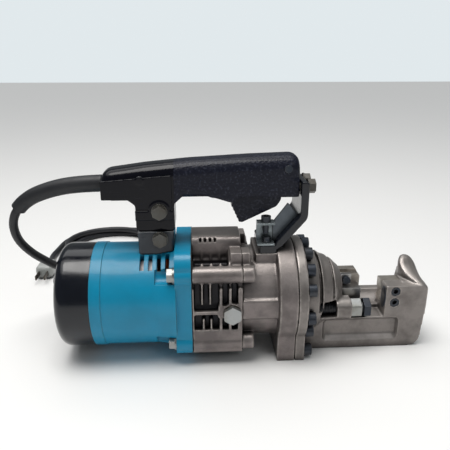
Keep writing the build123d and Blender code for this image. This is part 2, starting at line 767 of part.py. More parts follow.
def fixed_cutter():
    """The hardened block that the bar is pushed against."""
    block = prism_y(fixed_cutter_outline(), -10, SHEAR_Y)
    block -= rod_y(12.5, -11, SHEAR_Y + 1, ANVIL_X - 11.2, BAR_Z - 2)
    return one(block)


def fixed_cutter_seat():
    """The slot in the anvil that the fixed cutter sits in."""
    return prism_y(fixed_cutter_outline(2.0), -10, SHEAR_Y + 1)


def cutter_set_screws():
    """Two M10 set screws that clamp the fixed cutter from the left side."""
    screws = []
    for z in SET_SCREW_ZS:
        screw = rod_y(5.0, -25.6, -10, 160, z)
        screws.append(screw - prism_y(Pos(160, z) * hexagon(5.0), -27, -21))
    return group(screws)


def flange_bolts():
    """The thirteen M8 socket screws around the jaw frame's flange."""
    bolts = []
    for y, z in flange_bolt_places():
        bolt = rod_x(6.5, FRONT_FLANGE_X1, FRONT_FLANGE_X1 + 8, y, z)
        bolt += rod_x(M8_R, REAR_FLANGE_X1 - 12, FRONT_FLANGE_X1 + 1, y, z)
        socket = prism_x(Pos(y, z) * hexagon(6.0), FRONT_FLANGE_X1 + 4, FRONT_FLANGE_X1 + 9)
        bolts.append(bolt - socket)
    return group(bolts)


def stopper_bolt():
    """The black M12 bolt that props the bar square to the cutters."""
    head = prism_x(Pos(STOPPER_Y, STOPPER_Z) * hexagon(M12_AF), 124, 132)
    head &= rod_x(10.6, 120, 135, STOPPER_Y, STOPPER_Z)
    return one(head + rod_x(M12_R, 77, 125, STOPPER_Y, STOPPER_Z))


def stopper_nut():
    """The zinc locknut of the bar stopper."""
    nut = prism_x(Pos(STOPPER_Y, STOPPER_Z) * hexagon(M12_AF), BOSS_X1, 121.3)
    nut &= rod_x(10.6, 110, 122, STOPPER_Y, STOPPER_Z)
    return one(nut - rod_x(M12_R + RUNNING, 110, 122, STOPPER_Y, STOPPER_Z))


# ---- handle ----
def handle_outline(inset=0.0, end_r=10.0):
    """The handle's outline from the side, drawn inset by a wall thickness."""
    i = inset
    return outline(
        [
            (GRIP_X0 + i, 169 + i, 0.6 * end_r),
            (GRIP_X0 + i, 198.5 - i, end_r),
            (-60, 208.3 - i, 60),
            (GRIP_X1 - i, 213.2 - i, 0.8 * end_r),
            (GRIP_X1 - i, 171 + i, 0),
            (21 + i, 171 + i, 0),
            (19 + i, 173 + i, 0),
            (-8, 173 + i, 0),
            (-14, 165 + i, 2),
            (-34, 171.7 + i, 12),
            (-73 - i, 171.7 + i, 6 + i),
            (-73 - i, 138 + i, 0),
            (-112 + i, 138 + i, 0),
            (-112 + i, 169 + i, 6 + i),
        ]
    )


def handle_solid():
    """The whole handle before it is split into its two shells."""
    outer = prism_y(handle_outline(0, 0), -GRIP_HALF_Y, GRIP_HALF_Y)
    for face in (outer.faces().sort_by(Axis.Y)[0], outer.faces().sort_by(Axis.Y)[-1]):
        top_edges = face.edges().filter_by(lambda e: e.center().Z > 200)
        outer = fillet(top_edges, GRIP_EDGE_R)
    outer &= prism_y(handle_outline(), -GRIP_HALF_Y, GRIP_HALF_Y)
    inner_half = GRIP_HALF_Y - SHELL_WALL
    hollow = prism_y(handle_outline(SHELL_WALL, 4), -inner_half, inner_half)
    hollow &= box(-160, 70, -inner_half, inner_half, 120, 196)
    upper = prism_y(handle_outline(SHELL_WALL + 1, 4), -inner_half + 3, inner_half - 3)
    outer -= hollow
    outer -= upper
    for x, z in [(-88, 158.9), *HANDLE_SCREWS]:
        outer += rod_y(7, -inner_half - 1, inner_half + 1, x, z)
    for side in (-1, 1):
        y0, y1 = sorted((side * (inner_half + 1), side * (TRIGGER_HALF_Y + APART)))
        outer += rod_y(4.5, y0, y1, TRIGGER_PIVOT_X, TRIGGER_PIVOT_Z)
    outer += box(34, GRIP_X1 - 1, -inner_half - 1, inner_half + 1, FRONT_BOLT_Z - 7, FRONT_BOLT_Z + 7)
    return outer


def handle_parts():
    """The two handle shells with holes for the trigger, bolts, screws and cord."""
    cuts = [box(-17, 20, -TRIGGER_HALF_Y - APART, TRIGGER_HALF_Y + APART, 160, 180)]
    cuts.append(box(15, 38, -TRIGGER_HALF_Y - APART, TRIGGER_HALF_Y + APART, 160, 182))
    cuts.append(rod_y(M8_R + 0.2, -30, 30, -88, 158.9))
    cuts.append(rod_y(TRIGGER_PIN_R, -15, 15, TRIGGER_PIVOT_X, TRIGGER_PIVOT_Z))
    cuts.append(rod_x(CORD_R + 0.3, GRIP_X0 - 1, -130, 0, 184))
    cuts.append(rod_x(9.0, GRIP_X0 - 1, GRIP_X0 + 2, 0, 184))
    for x, z in HANDLE_SCREWS:
        cuts.append(rod_y(2.0, -30, 12, x, z))
        cuts.append(rod_y(3.9, -30, -GRIP_HALF_Y + 1.5, x, z))
    for y in (-12, 12):
        cuts.append(rod_x(M8_R, 39, 60, y, FRONT_BOLT_Z))
    whole = handle_solid()
    halves = []
    for side in (-1, 1):
        half = whole & box(-160, 70, min(0, side * 30), max(0, side * 30), 120, 230)
        halves.append(one(half - cuts))
    return halves


def handle_screws():
    """The screws that hold the two handle shells together."""
    screws = []
    for x, z in HANDLE_SCREWS:
        screw = rod_y(3.8, -GRIP_HALF_Y - 0.6, -GRIP_HALF_Y + 1.5, x, z)
        screws.append(screw + rod_y(2.0, -GRIP_HALF_Y + 1, 12, x, z))
    return group(screws)


def switch_body():
    """The trigger switch inside the grip."""
    body = box(-18, 22, -9, 9, 187, 203)
    return one(body + box(-6, 2, -3, 3, 184.5, 187))


def trigger():
    """The trigger, hinged at its front end."""
    side = outline(
        [
            (-14, 175, 2),
            (-15, 161.5, 3),
            (-6, 141.5, 2.5),
            (31, 159, 6),
            (35.5, 166, 3),
            (35.5, 177.5, 3),
        ]
    )
    body = prism_y(side, -TRIGGER_HALF_Y, TRIGGER_HALF_Y)
    return one(body - rod_y(TRIGGER_PIN_R + RUNNING, -10, 10, TRIGGER_PIVOT_X, TRIGGER_PIVOT_Z))


def trigger_pin():
    """The pin that the trigger turns on."""
    return one(rod_y(TRIGGER_PIN_R, -15, 15, TRIGGER_PIVOT_X, TRIGGER_PIVOT_Z))


def rear_bracket():
    """The saddle block between the motor barrel and the handle's rear leg."""
    block = box(-110.6, -74.2, -20.4, 20.4, 100, 138)
    block = fillet(block.edges().filter_by(Axis.Z), 2.5)
    block -= rod_x(BARREL_R + 0.1, -115, -92)
    saddle = [(-92.05, 0), (-92.05, BARREL_R + 0.1), (-73, BARREL_R + 3.2), (-73, 0)]
    block -= turned(saddle)
    return one(block - rod_y(M8_R, -30, 15, -88, 130.3))


def rear_bracket_bolts():
    """The two M8 bolts across the handle's leg and its bracket."""
    bolts = []
    for z, shank_end, face in ((130.3, 15, 20.4), (158.9, 19, GRIP_HALF_Y)):
        washer = rod_y(8.0, -face - 1.6, -face, -88, z)
        head = prism_y(Pos(-88, z) * hexagon(M8_AF), -face - 7, -face - 1.6)
        shank = rod_y(M8_R, -face - 2, shank_end, -88, z)
        bolts.append(head + washer + shank)
    return group(bolts)


def front_bracket():
    """The bent steel plate that carries the front of the handle."""
    side = outline(
        [
            (12.4, 113.5, 0),
            (29.8, 113.5, 0),
            (29.8, 117.6, 0),
            (35.5, 121.0, 6),
            (60.7, 150.5, 12),
            (60.7, 188, 3),
            (53, 188, 1),
            (53, 154.0, 6),
            (30.5, 127.5, 4),
            (28.5, 122.4, 1),
            (12.4, 122.4, 1),
        ]
    )
    plate = prism_y(side, -25, 25)
    for y in (-12, 12):
        plate -= rod_x(M8_R + 0.3, 52, 62, y, FRONT_BOLT_Z)
    for y in (-18, 18):
        plate -= rod_z(3.2, 112, 124, 20, y)
    return one(plate)


def front_bracket_bolts():
    """The two M8 bolts into the handle's front end."""
    bolts = []
    for y in (-12, 12):
        head = prism_x(Pos(y, FRONT_BOLT_Z) * hexagon(M8_AF), 62.3, 68.5)
        washer = rod_x(8.0, 60.7, 62.3, y, FRONT_BOLT_Z)
        bolts.append(head + washer + rod_x(M8_R, 40, 63, y, FRONT_BOLT_Z))
    return group(bolts)


def stay_plate():
    """The bent zinc sheet on the bracket's foot, left of the middle."""
    sheet = box(10, 27.5, -25, -11, 122.4, 124.4)
    sheet += box(10, 27.5, -13, -11, 122.4, 146)
    sheet += box(10, 27.5, -24, -11, 144, 146)
    sheet -= rod_z(3.0, 143, 147, 19, -18)
    return one(sheet - rod_z(3.2, 122, 125, 20, -18))


def stay_bolts():
    """The socket screw on the sheet and the two foot bolts."""
    cap = rod_z(5.0, 146, 152, 19, -18) + rod_z(3.0, 134, 147, 19, -18)
    cap -= rod_z(2.4, 149, 153, 19, -18)
    bolts = [cap]
    for y, base in ((-18, 124.4), (18, 122.4)):
        washer = rod_z(4.8, base, base + 1.2, 20, y)
        head = Pos(20, y, base + 1.2) * extrude(RegularPolygon(8 / math.sqrt(3), 6), 4.5)
        bolts.append(washer + head + rod_z(3.0, 104, base + 2, 20, y))
    return group(bolts)


# ---- mains cord ----
def route_radii(points):
    """The bend radius at each corner: 0.45 of the shorter run over tan(half the turn)."""
    radii = []
    for before, here, after in zip(points, points[1:], points[2:]):
        arriving = Vector(*here) - Vector(*before)
        leaving = Vector(*after) - Vector(*here)
        half_turn = math.radians(arriving.get_angle(leaving)) / 2
        radii.append(0.45 * min(arriving.length, leaving.length) / math.tan(half_turn))
    return radii


def swept(points, radii, radius, hole=0.0):
    """A round tube along a route of straight runs and tangent arcs."""
    path = FilletPolyline(*points, radius=radii)
    start = Plane(origin=path @ 0, z_dir=path % 0)
    tube = sweep(start * Circle(radius), path=path)
    if hole:
        tube -= sweep(start * Circle(hole), path=path)
    expected = math.pi * (radius**2 - hole**2) * path.length
    print(f"tube {path.length:.1f} mm long, volume {tube.volume:.0f} of {expected:.0f}")
    print("bend radii", [round(r, 1) for r in radii])
    return tube


def cord_guard():
    """The long rubber sleeve that keeps the cord from bending at the handle."""
    last = (Vector(*CORD_ROUTE[GUARD_CORNERS]) + Vector(*CORD_ROUTE[GUARD_CORNERS + 1])) / 2
    points = CORD_ROUTE[: GUARD_CORNERS + 1] + [tuple(last)]
    return one(swept(points, route_radii(CORD_ROUTE)[:GUARD_CORNERS], GUARD_R, CORD_R + 0.2))


def cord_tube():
    """The two loose runs of the cord: handle to coil, and coil to plug."""
    lead = swept(CORD_ROUTE, route_radii(CORD_ROUTE), CORD_R)
    tail = swept(TAIL_ROUTE, route_radii(TAIL_ROUTE), CORD_R)
    return group([one(lead - cord_coil()), one(tail - cord_coil() - plug_body())])


def cord_coil():
    """The outer shape of the loose coil on the floor behind the motor."""
    outer = Pos(COIL_X, COIL_Y, 0) * extrude(Ellipse(COIL_OUTER_X, COIL_OUTER_Y), COIL_HEIGHT)
    hole = Pos(COIL_X, COIL_Y, -1) * extrude(Ellipse(COIL_INNER_X, COIL_INNER_Y), COIL_HEIGHT + 2)
    return one(outer - hole)


def plug_body():
    """The moulded plug at the end of the cord, lying on the floor."""
    body = Pos(PLUG_X, PLUG_Y, 10) * Box(24, 34, 19.6)
    body = fillet(body.edges(), 6)
    return one(body)


def plug_blades():
    """The two flat blades of the plug."""
    front = PLUG_Y - 17
    return group([box(PLUG_X + dx - 0.8, PLUG_X + dx + 0.8, front - 17, front, 7, 13) for dx in (-6, 6)])


PARTS = {
    "rear_cover": rear_cover,
    "rear_cover_screws": rear_cover_screws,
    "rear_bearing_bracket": rear_bearing_bracket,
    "motor_housing": motor_housing,
    "case_gasket": case_gasket,
    "stator_core": stator_core,
    "field_coils": field_coils,
    "brush_holders": brush_holders,
    "carbon_brushes": carbon_brushes,
    "armature_bearings": armature_bearings,
    "armature_shaft": armature_shaft,
    "armature_core": armature_core,
    "armature_windings": armature_windings,
    "commutator": commutator,
    "cooling_fan": cooling_fan,
    "housing_bolts": housing_bolts,
    "housing_washers": housing_washers,
    "pump_case": pump_case,
    "drive_gear": drive_gear,
    "eccentric_shaft": eccentric_shaft,
    "eccentric_bearing": eccentric_bearing,
    "crank_bearings": crank_bearings,
    "pump_block": pump_block,
    "pump_plunger": pump_plunger,
    "plunger_spring": plunger_spring,
    "check_valve_balls": check_valve_balls,
    "oil_plug": oil_plug,
    "plug_washer": plug_washer,
    "oil_bladder": oil_bladder,
    "cylinder": cylinder,
    "cylinder_seal": cylinder_seal,
    "ram": ram,
    "piston_seal": piston_seal,
    "return_spring": return_spring,
    "ram_bush": ram_bush,
    "moving_cutter": moving_cutter,
    "moving_cutter_screw": moving_cutter_screw,
    "c_frame": c_frame,
    "flange_bolts": flange_bolts,
    "fixed_cutter": fixed_cutter,
    "cutter_set_screws": cutter_set_screws,
    "stopper_bolt": stopper_bolt,
    "stopper_nut": stopper_nut,
    "handle_screws": handle_screws,
    "switch_body": switch_body,
    "trigger": trigger,
    "trigger_pin": trigger_pin,
    "rear_bracket": rear_bracket,
    "rear_bracket_bolts": rear_bracket_bolts,
    "front_bracket": front_bracket,
    "front_bracket_bolts": front_bracket_bolts,
    "stay_plate": stay_plate,
    "stay_bolts": stay_bolts,
    "cord_guard": cord_guard,
    "cord_tube": cord_tube,
    "cord_coil": cord_coil,
    "plug_body": plug_body,
    "plug_blades": plug_blades,
}


def main():
    """Writes one STEP file for each node."""
    os.makedirs("parts", exist_ok=True)
    shapes = {name: make() for name, make in PARTS.items()}
    shapes["handle_left"], shapes["handle_right"] = handle_parts()
    for name, shape in shapes.items():
        export_step(shape, f"parts/{name}.step")


main()
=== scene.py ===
import json
import math

import bmesh
import bpy
from mathutils import Euler, Matrix, Vector


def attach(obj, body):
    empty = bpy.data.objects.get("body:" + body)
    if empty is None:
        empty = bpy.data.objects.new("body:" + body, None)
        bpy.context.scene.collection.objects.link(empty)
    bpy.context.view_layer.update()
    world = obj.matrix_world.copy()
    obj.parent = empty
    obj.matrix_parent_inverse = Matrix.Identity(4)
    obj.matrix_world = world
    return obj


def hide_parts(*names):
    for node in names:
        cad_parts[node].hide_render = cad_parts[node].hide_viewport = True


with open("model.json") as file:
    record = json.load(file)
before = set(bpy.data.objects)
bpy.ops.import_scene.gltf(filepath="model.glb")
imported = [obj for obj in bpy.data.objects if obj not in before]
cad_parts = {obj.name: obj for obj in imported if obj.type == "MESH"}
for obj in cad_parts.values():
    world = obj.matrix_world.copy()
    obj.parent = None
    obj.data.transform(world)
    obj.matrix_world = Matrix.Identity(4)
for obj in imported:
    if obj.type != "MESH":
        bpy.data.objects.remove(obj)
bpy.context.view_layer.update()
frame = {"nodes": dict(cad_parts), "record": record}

# Lengths are in millimetres, except where a name ends in _M for metres.
MM = 0.001  # metres in a millimetre
AXIS_Z = 62.5  # height of the motor and cylinder axis
SHEAR_Y = 2.5  # the two cutters pass each other at this plane
ANVIL_X = 149.4  # the anvil's face towards the moving cutter

# ---- camera and light ----
SENSOR_MM = 36.0
LENS_MM = 39.04
CAMERA_AT = (-49.5, -484.5, 304.0)
CAMERA_DOWN_DEG = 19.0
CAMERA_RIGHT_DEG = 3.3
CLIP_START_M = 0.01
FLOOR_HALF_M = 6.0
FLOOR_COLOUR = (0.90, 0.895, 0.885, 1)
FLOOR_ROUGHNESS = 0.55
WORLD_COLOUR = (0.90, 0.97, 1.0, 1)
WORLD_LIGHT = 0.16  # strength of the world as a light
WORLD_SEEN = 0.84  # its strength where the camera sees it
LIGHTS_AIM_M = (0, 0, 0.08)
# name, place in metres, side in metres, watts, colour
AREA_LIGHTS = [
    ("key", (-0.25, -0.15, 1.5), 0.8, 13, (1, 0.98, 0.95)),
    ("fill", (0.7, -1.1, 1.1), 0.6, 2.0, (0.97, 0.99, 1)),
]
SKY_ENERGY = 1.55
SKY_SPREAD_DEG = 70
SKY_TURN_DEG = (-12, -8, 0)


def millimetres(*point):
    """A point given in millimetres, in metres."""
    return Vector(point) * MM


def add_camera():
    """The photograph's viewpoint."""
    data = bpy.data.cameras.new("camera")
    data.sensor_width = SENSOR_MM
    data.lens = LENS_MM
    data.clip_start = CLIP_START_M
    camera = bpy.data.objects.new("camera", data)
    camera.location = millimetres(*CAMERA_AT)
    pitch = math.radians(90 - CAMERA_DOWN_DEG)
    camera.rotation_euler = Euler((pitch, 0, math.radians(-CAMERA_RIGHT_DEG)))
    bpy.context.scene.collection.objects.link(camera)
    bpy.context.scene.camera = camera


def add_floor():
    """A wide pale floor."""
    mesh = bpy.data.meshes.new("floor")
    half = FLOOR_HALF_M
    corners = [(-half, -half, 0), (half, -half, 0), (half, half, 0), (-half, half, 0)]
    mesh.from_pydata(corners, [], [(0, 1, 2, 3)])
    floor = bpy.data.objects.new("floor", mesh)
    bpy.context.scene.collection.objects.link(floor)
    material = bpy.data.materials.new("floor")
    material.use_nodes = True
    shader = material.node_tree.nodes["Principled BSDF"]
    shader.inputs["Base Color"].default_value = FLOOR_COLOUR
    shader.inputs["Roughness"].default_value = FLOOR_ROUGHNESS
    mesh.materials.append(material)


def add_world():
    """A pale world that is brighter to the camera than as a light."""
    world = bpy.data.worlds.new("world")
    world.use_nodes = True
    tree = world.node_tree
    background = tree.nodes["Background"]
    background.inputs["Color"].default_value = WORLD_COLOUR
    ray = tree.nodes.new("ShaderNodeLightPath")
    strength = tree.nodes.new("ShaderNodeMapRange")
    strength.inputs["To Min"].default_value = WORLD_LIGHT
    strength.inputs["To Max"].default_value = WORLD_SEEN
    tree.links.new(ray.outputs["Is Camera Ray"], strength.inputs["Value"])
    tree.links.new(strength.outputs["Result"], background.inputs["Strength"])
    bpy.context.scene.world = world
    bpy.context.scene.view_settings.view_transform = "Standard"


def add_area_light(name, place, side, watts, colour):
    """A square light that points at the tool."""
    data = bpy.data.lights.new(name, "AREA")
    data.shape = "SQUARE"
    data.size = side
    data.energy = watts
    data.color = colour
    light = bpy.data.objects.new(name, data)
    light.location = place
    light.rotation_mode = "QUATERNION"
    light.rotation_quaternion = (Vector(LIGHTS_AIM_M) - Vector(place)).to_track_quat("-Z", "Y")
    bpy.context.scene.collection.objects.link(light)


def add_lights():
    """Two area lights, and a wide soft sun in place of an open sky."""
    for settings in AREA_LIGHTS:
        add_area_light(*settings)
    data = bpy.data.lights.new("sky", "SUN")
    data.energy = SKY_ENERGY
    data.angle = math.radians(SKY_SPREAD_DEG)
    sky = bpy.data.objects.new("sky", data)
    sky.rotation_euler = Euler([math.radians(turn) for turn in SKY_TURN_DEG])
    bpy.context.scene.collection.objects.link(sky)


# ---- materials ----
# painted shade deep in the pump case's recesses: its reach to both sides and its height, each from
# where it starts to where it is full, its strength, and its colour
PAINTED_SHADE_DEPTHS = [
    ((48.2, 46.2), (93.0, 91.5), 0.93, (0.010, 0.010, 0.013)),
    ((38.5, 37.0), (108.0, 104.5), 0.90, (0.012, 0.012, 0.015)),
]
# each slot's finish, and a few looks of single pieces: the colour, its patches and its edges, lighter
# from rubbing and from painted highlight, the range of its roughness, and its cast or moulded grain
FINISHES = {
    "cap_gloss": {
        "base": (0.003, 0.004, 0.008), "patch": (0.005, 0.007, 0.012), "edge": (0.03, 0.033, 0.04),
        "rough": (0.14, 0.26), "metal": 0.0, "coat": 0.3,
        "grain_mm": 30.0, "grain_depth": 0.02, "bevel_mm": 1.5,
    },
    "screw_black": {
        "base": (0.035, 0.042, 0.055), "patch": (0.055, 0.058, 0.065), "edge": (0.20, 0.20, 0.20),
        "rough": (0.32, 0.50), "metal": 0.7, "coat": 0.0,
        "grain_mm": 0.8, "grain_depth": 0.03, "bevel_mm": 0.5,
    },
    "inner_alu": {
        "base": (0.55, 0.55, 0.54), "patch": (0.45, 0.45, 0.44), "edge": (0.7, 0.7, 0.7),
        "rough": (0.35, 0.5), "metal": 1.0, "coat": 0.0,
        "grain_mm": 1.5, "grain_depth": 0.03, "bevel_mm": 0.5,
    },
    "blue_paint": {
        "base": (0.000, 0.250, 0.430), "patch": (0.000, 0.228, 0.390), "edge": (0.05, 0.30, 0.41),
        "rough": (0.34, 0.48), "metal": 0.0, "coat": 0.15,
        "grain_mm": 9.0, "grain_depth": 0.03, "bevel_mm": 1.4,
    },
    "gasket": {
        "base": (0.045, 0.042, 0.04), "patch": (0.03, 0.028, 0.026), "edge": (0.06, 0.055, 0.05),
        "rough": (0.7, 0.85), "metal": 0.0, "coat": 0.0,
        "grain_mm": 0.8, "grain_depth": 0.03, "bevel_mm": 0.3,
    },
    "laminations": {
        "base": (0.22, 0.22, 0.23), "patch": (0.16, 0.15, 0.15), "edge": (0.35, 0.35, 0.35),
        "rough": (0.4, 0.6), "metal": 1.0, "coat": 0.0,
        "grain_mm": 0.8, "grain_depth": 0.03, "bevel_mm": 0.3,
    },
    "copper": {
        "base": (0.55, 0.24, 0.12), "patch": (0.42, 0.17, 0.08), "edge": (0.65, 0.35, 0.2),
        "rough": (0.3, 0.45), "metal": 1.0, "coat": 0.0,
        "grain_mm": 0.8, "grain_depth": 0.05, "bevel_mm": 0.3,
    },
    "brass": {
        "base": (0.55, 0.42, 0.20), "patch": (0.45, 0.33, 0.15), "edge": (0.7, 0.6, 0.35),
        "rough": (0.28, 0.42), "metal": 1.0, "coat": 0.0,
        "grain_mm": 1.0, "grain_depth": 0.02, "bevel_mm": 0.4,
    },
    "carbon": {
        "base": (0.02, 0.02, 0.02), "patch": (0.03, 0.03, 0.03), "edge": (0.06, 0.06, 0.06),
        "rough": (0.5, 0.7), "metal": 0.0, "coat": 0.0,
        "grain_mm": 0.6, "grain_depth": 0.03, "bevel_mm": 0.3,
    },
    "bearing_steel": {
        "base": (0.62, 0.62, 0.64), "patch": (0.55, 0.55, 0.56), "edge": (0.75, 0.75, 0.75),
        "rough": (0.12, 0.22), "metal": 1.0, "coat": 0.0,
        "grain_mm": 2.0, "grain_depth": 0.01, "bevel_mm": 0.3,
    },
    "ground_steel": {
        "base": (0.40, 0.39, 0.38), "patch": (0.30, 0.28, 0.27), "edge": (0.60, 0.60, 0.58),
        "rough": (0.26, 0.42), "metal": 1.0, "coat": 0.0,
        "grain_mm": 1.2, "grain_depth": 0.03, "bevel_mm": 0.5,
    },
    "inner_plastic": {
        "base": (0.025, 0.025, 0.027), "patch": (0.03, 0.03, 0.03), "edge": (0.06, 0.06, 0.06),
        "rough": (0.45, 0.6), "metal": 0.0, "coat": 0.0,
        "grain_mm": 1.0, "grain_depth": 0.02, "bevel_mm": 0.4,
    },
    "zinc_steel": {
        "base": (0.36, 0.37, 0.37), "patch": (0.26, 0.26, 0.24), "edge": (0.60, 0.60, 0.58),
        "rough": (0.30, 0.46), "metal": 0.85, "coat": 0.0,
        "grain_mm": 1.5, "grain_depth": 0.03, "bevel_mm": 0.5,
    },
    "cast_brown": {
        "base": (0.225, 0.196, 0.190), "patch": (0.140, 0.122, 0.119), "edge": (0.46, 0.42, 0.39),
        "rough": (0.30, 0.46), "metal": 0.55, "coat": 0.0,
        "grain_mm": 1.8, "grain_depth": 0.22, "bevel_mm": 0,
    },
    "forged_brown": {
        "base": (0.240, 0.218, 0.206), "patch": (0.155, 0.139, 0.131), "edge": (0.50, 0.46, 0.43),
        "rough": (0.28, 0.44), "metal": 0.60, "coat": 0.0,
        "grain_mm": 2.4, "grain_depth": 0.18, "bevel_mm": 0,
    },
    "spring_steel": {
        "base": (0.3, 0.3, 0.32), "patch": (0.2, 0.2, 0.21), "edge": (0.5, 0.5, 0.5),
        "rough": (0.3, 0.45), "metal": 1.0, "coat": 0.0,
        "grain_mm": 1.0, "grain_depth": 0.02, "bevel_mm": 0.3,
    },
    "cutter_steel": {
        "base": (0.42, 0.39, 0.35), "patch": (0.28, 0.25, 0.22), "edge": (0.62, 0.60, 0.56),
        "rough": (0.30, 0.45), "metal": 0.75, "coat": 0.0,
        "grain_mm": 1.0, "grain_depth": 0.05, "bevel_mm": 0.6,
    },
    "black_rubber": {
        "base": (0.018, 0.019, 0.022), "patch": (0.024, 0.025, 0.028), "edge": (0.05, 0.05, 0.055),
        "rough": (0.42, 0.58), "metal": 0.0, "coat": 0.0,
        "grain_mm": 3.0, "grain_depth": 0.03, "bevel_mm": 0.4,
    },
    "cord_rubber": {
        "base": (0.016, 0.017, 0.020), "patch": (0.022, 0.023, 0.027), "edge": (0.04, 0.04, 0.045),
        "rough": (0.36, 0.52), "metal": 0.0, "coat": 0.0,
        "grain_mm": 4.0, "grain_depth": 0.03, "bevel_mm": 0.3,
    },
    "bracket_black": {
        "base": (0.020, 0.025, 0.033), "patch": (0.030, 0.036, 0.045), "edge": (0.16, 0.17, 0.18),
        "rough": (0.26, 0.42), "metal": 0.2, "coat": 0.2,
        "grain_mm": 1.6, "grain_depth": 0.05, "bevel_mm": 0,
    },
    "bolt_grey": {
        "base": (0.110, 0.108, 0.100), "patch": (0.075, 0.068, 0.058), "edge": (0.25, 0.24, 0.22),
        "rough": (0.35, 0.52), "metal": 0.7, "coat": 0.0,
        "grain_mm": 1.0, "grain_depth": 0.06, "bevel_mm": 0.5,
    },
    "dull_zinc": {
        "base": (0.270, 0.305, 0.320), "patch": (0.180, 0.208, 0.220), "edge": (0.42, 0.45, 0.46),
        "rough": (0.30, 0.48), "metal": 0.7, "coat": 0.0,
        "grain_mm": 1.2, "grain_depth": 0.04, "bevel_mm": 0.5,
    },
    "plate_grey": {
        "base": (0.150, 0.172, 0.195), "patch": (0.105, 0.122, 0.140), "edge": (0.26, 0.28, 0.30),
        "rough": (0.28, 0.44), "metal": 0.35, "coat": 0.0,
        "grain_mm": 1.6, "grain_depth": 0.05, "bevel_mm": 0,
    },
    "dark_brass": {
        "base": (0.085, 0.075, 0.060), "patch": (0.060, 0.052, 0.042), "edge": (0.20, 0.18, 0.14),
        "rough": (0.32, 0.46), "metal": 0.9, "coat": 0.0,
        "grain_mm": 1.0, "grain_depth": 0.02, "bevel_mm": 0.3,
    },
    "plug_plastic": {
        "base": (0.36, 0.375, 0.36), "patch": (0.28, 0.29, 0.28), "edge": (0.45, 0.46, 0.45),
        "rough": (0.28, 0.42), "metal": 0.0, "coat": 0.2,
        "grain_mm": 3.0, "grain_depth": 0.03, "bevel_mm": 0,
    },
}
# CAD nodes whose wear or plating differs from the rest of their slot
OWN_FINISH = {
    "rear_bracket_bolts": "bolt_grey",
    "front_bracket_bolts": "bolt_grey",
    "stay_plate": "dull_zinc",
    "plug_blades": "dark_brass",
    "plug_washer": "dark_brass",
}


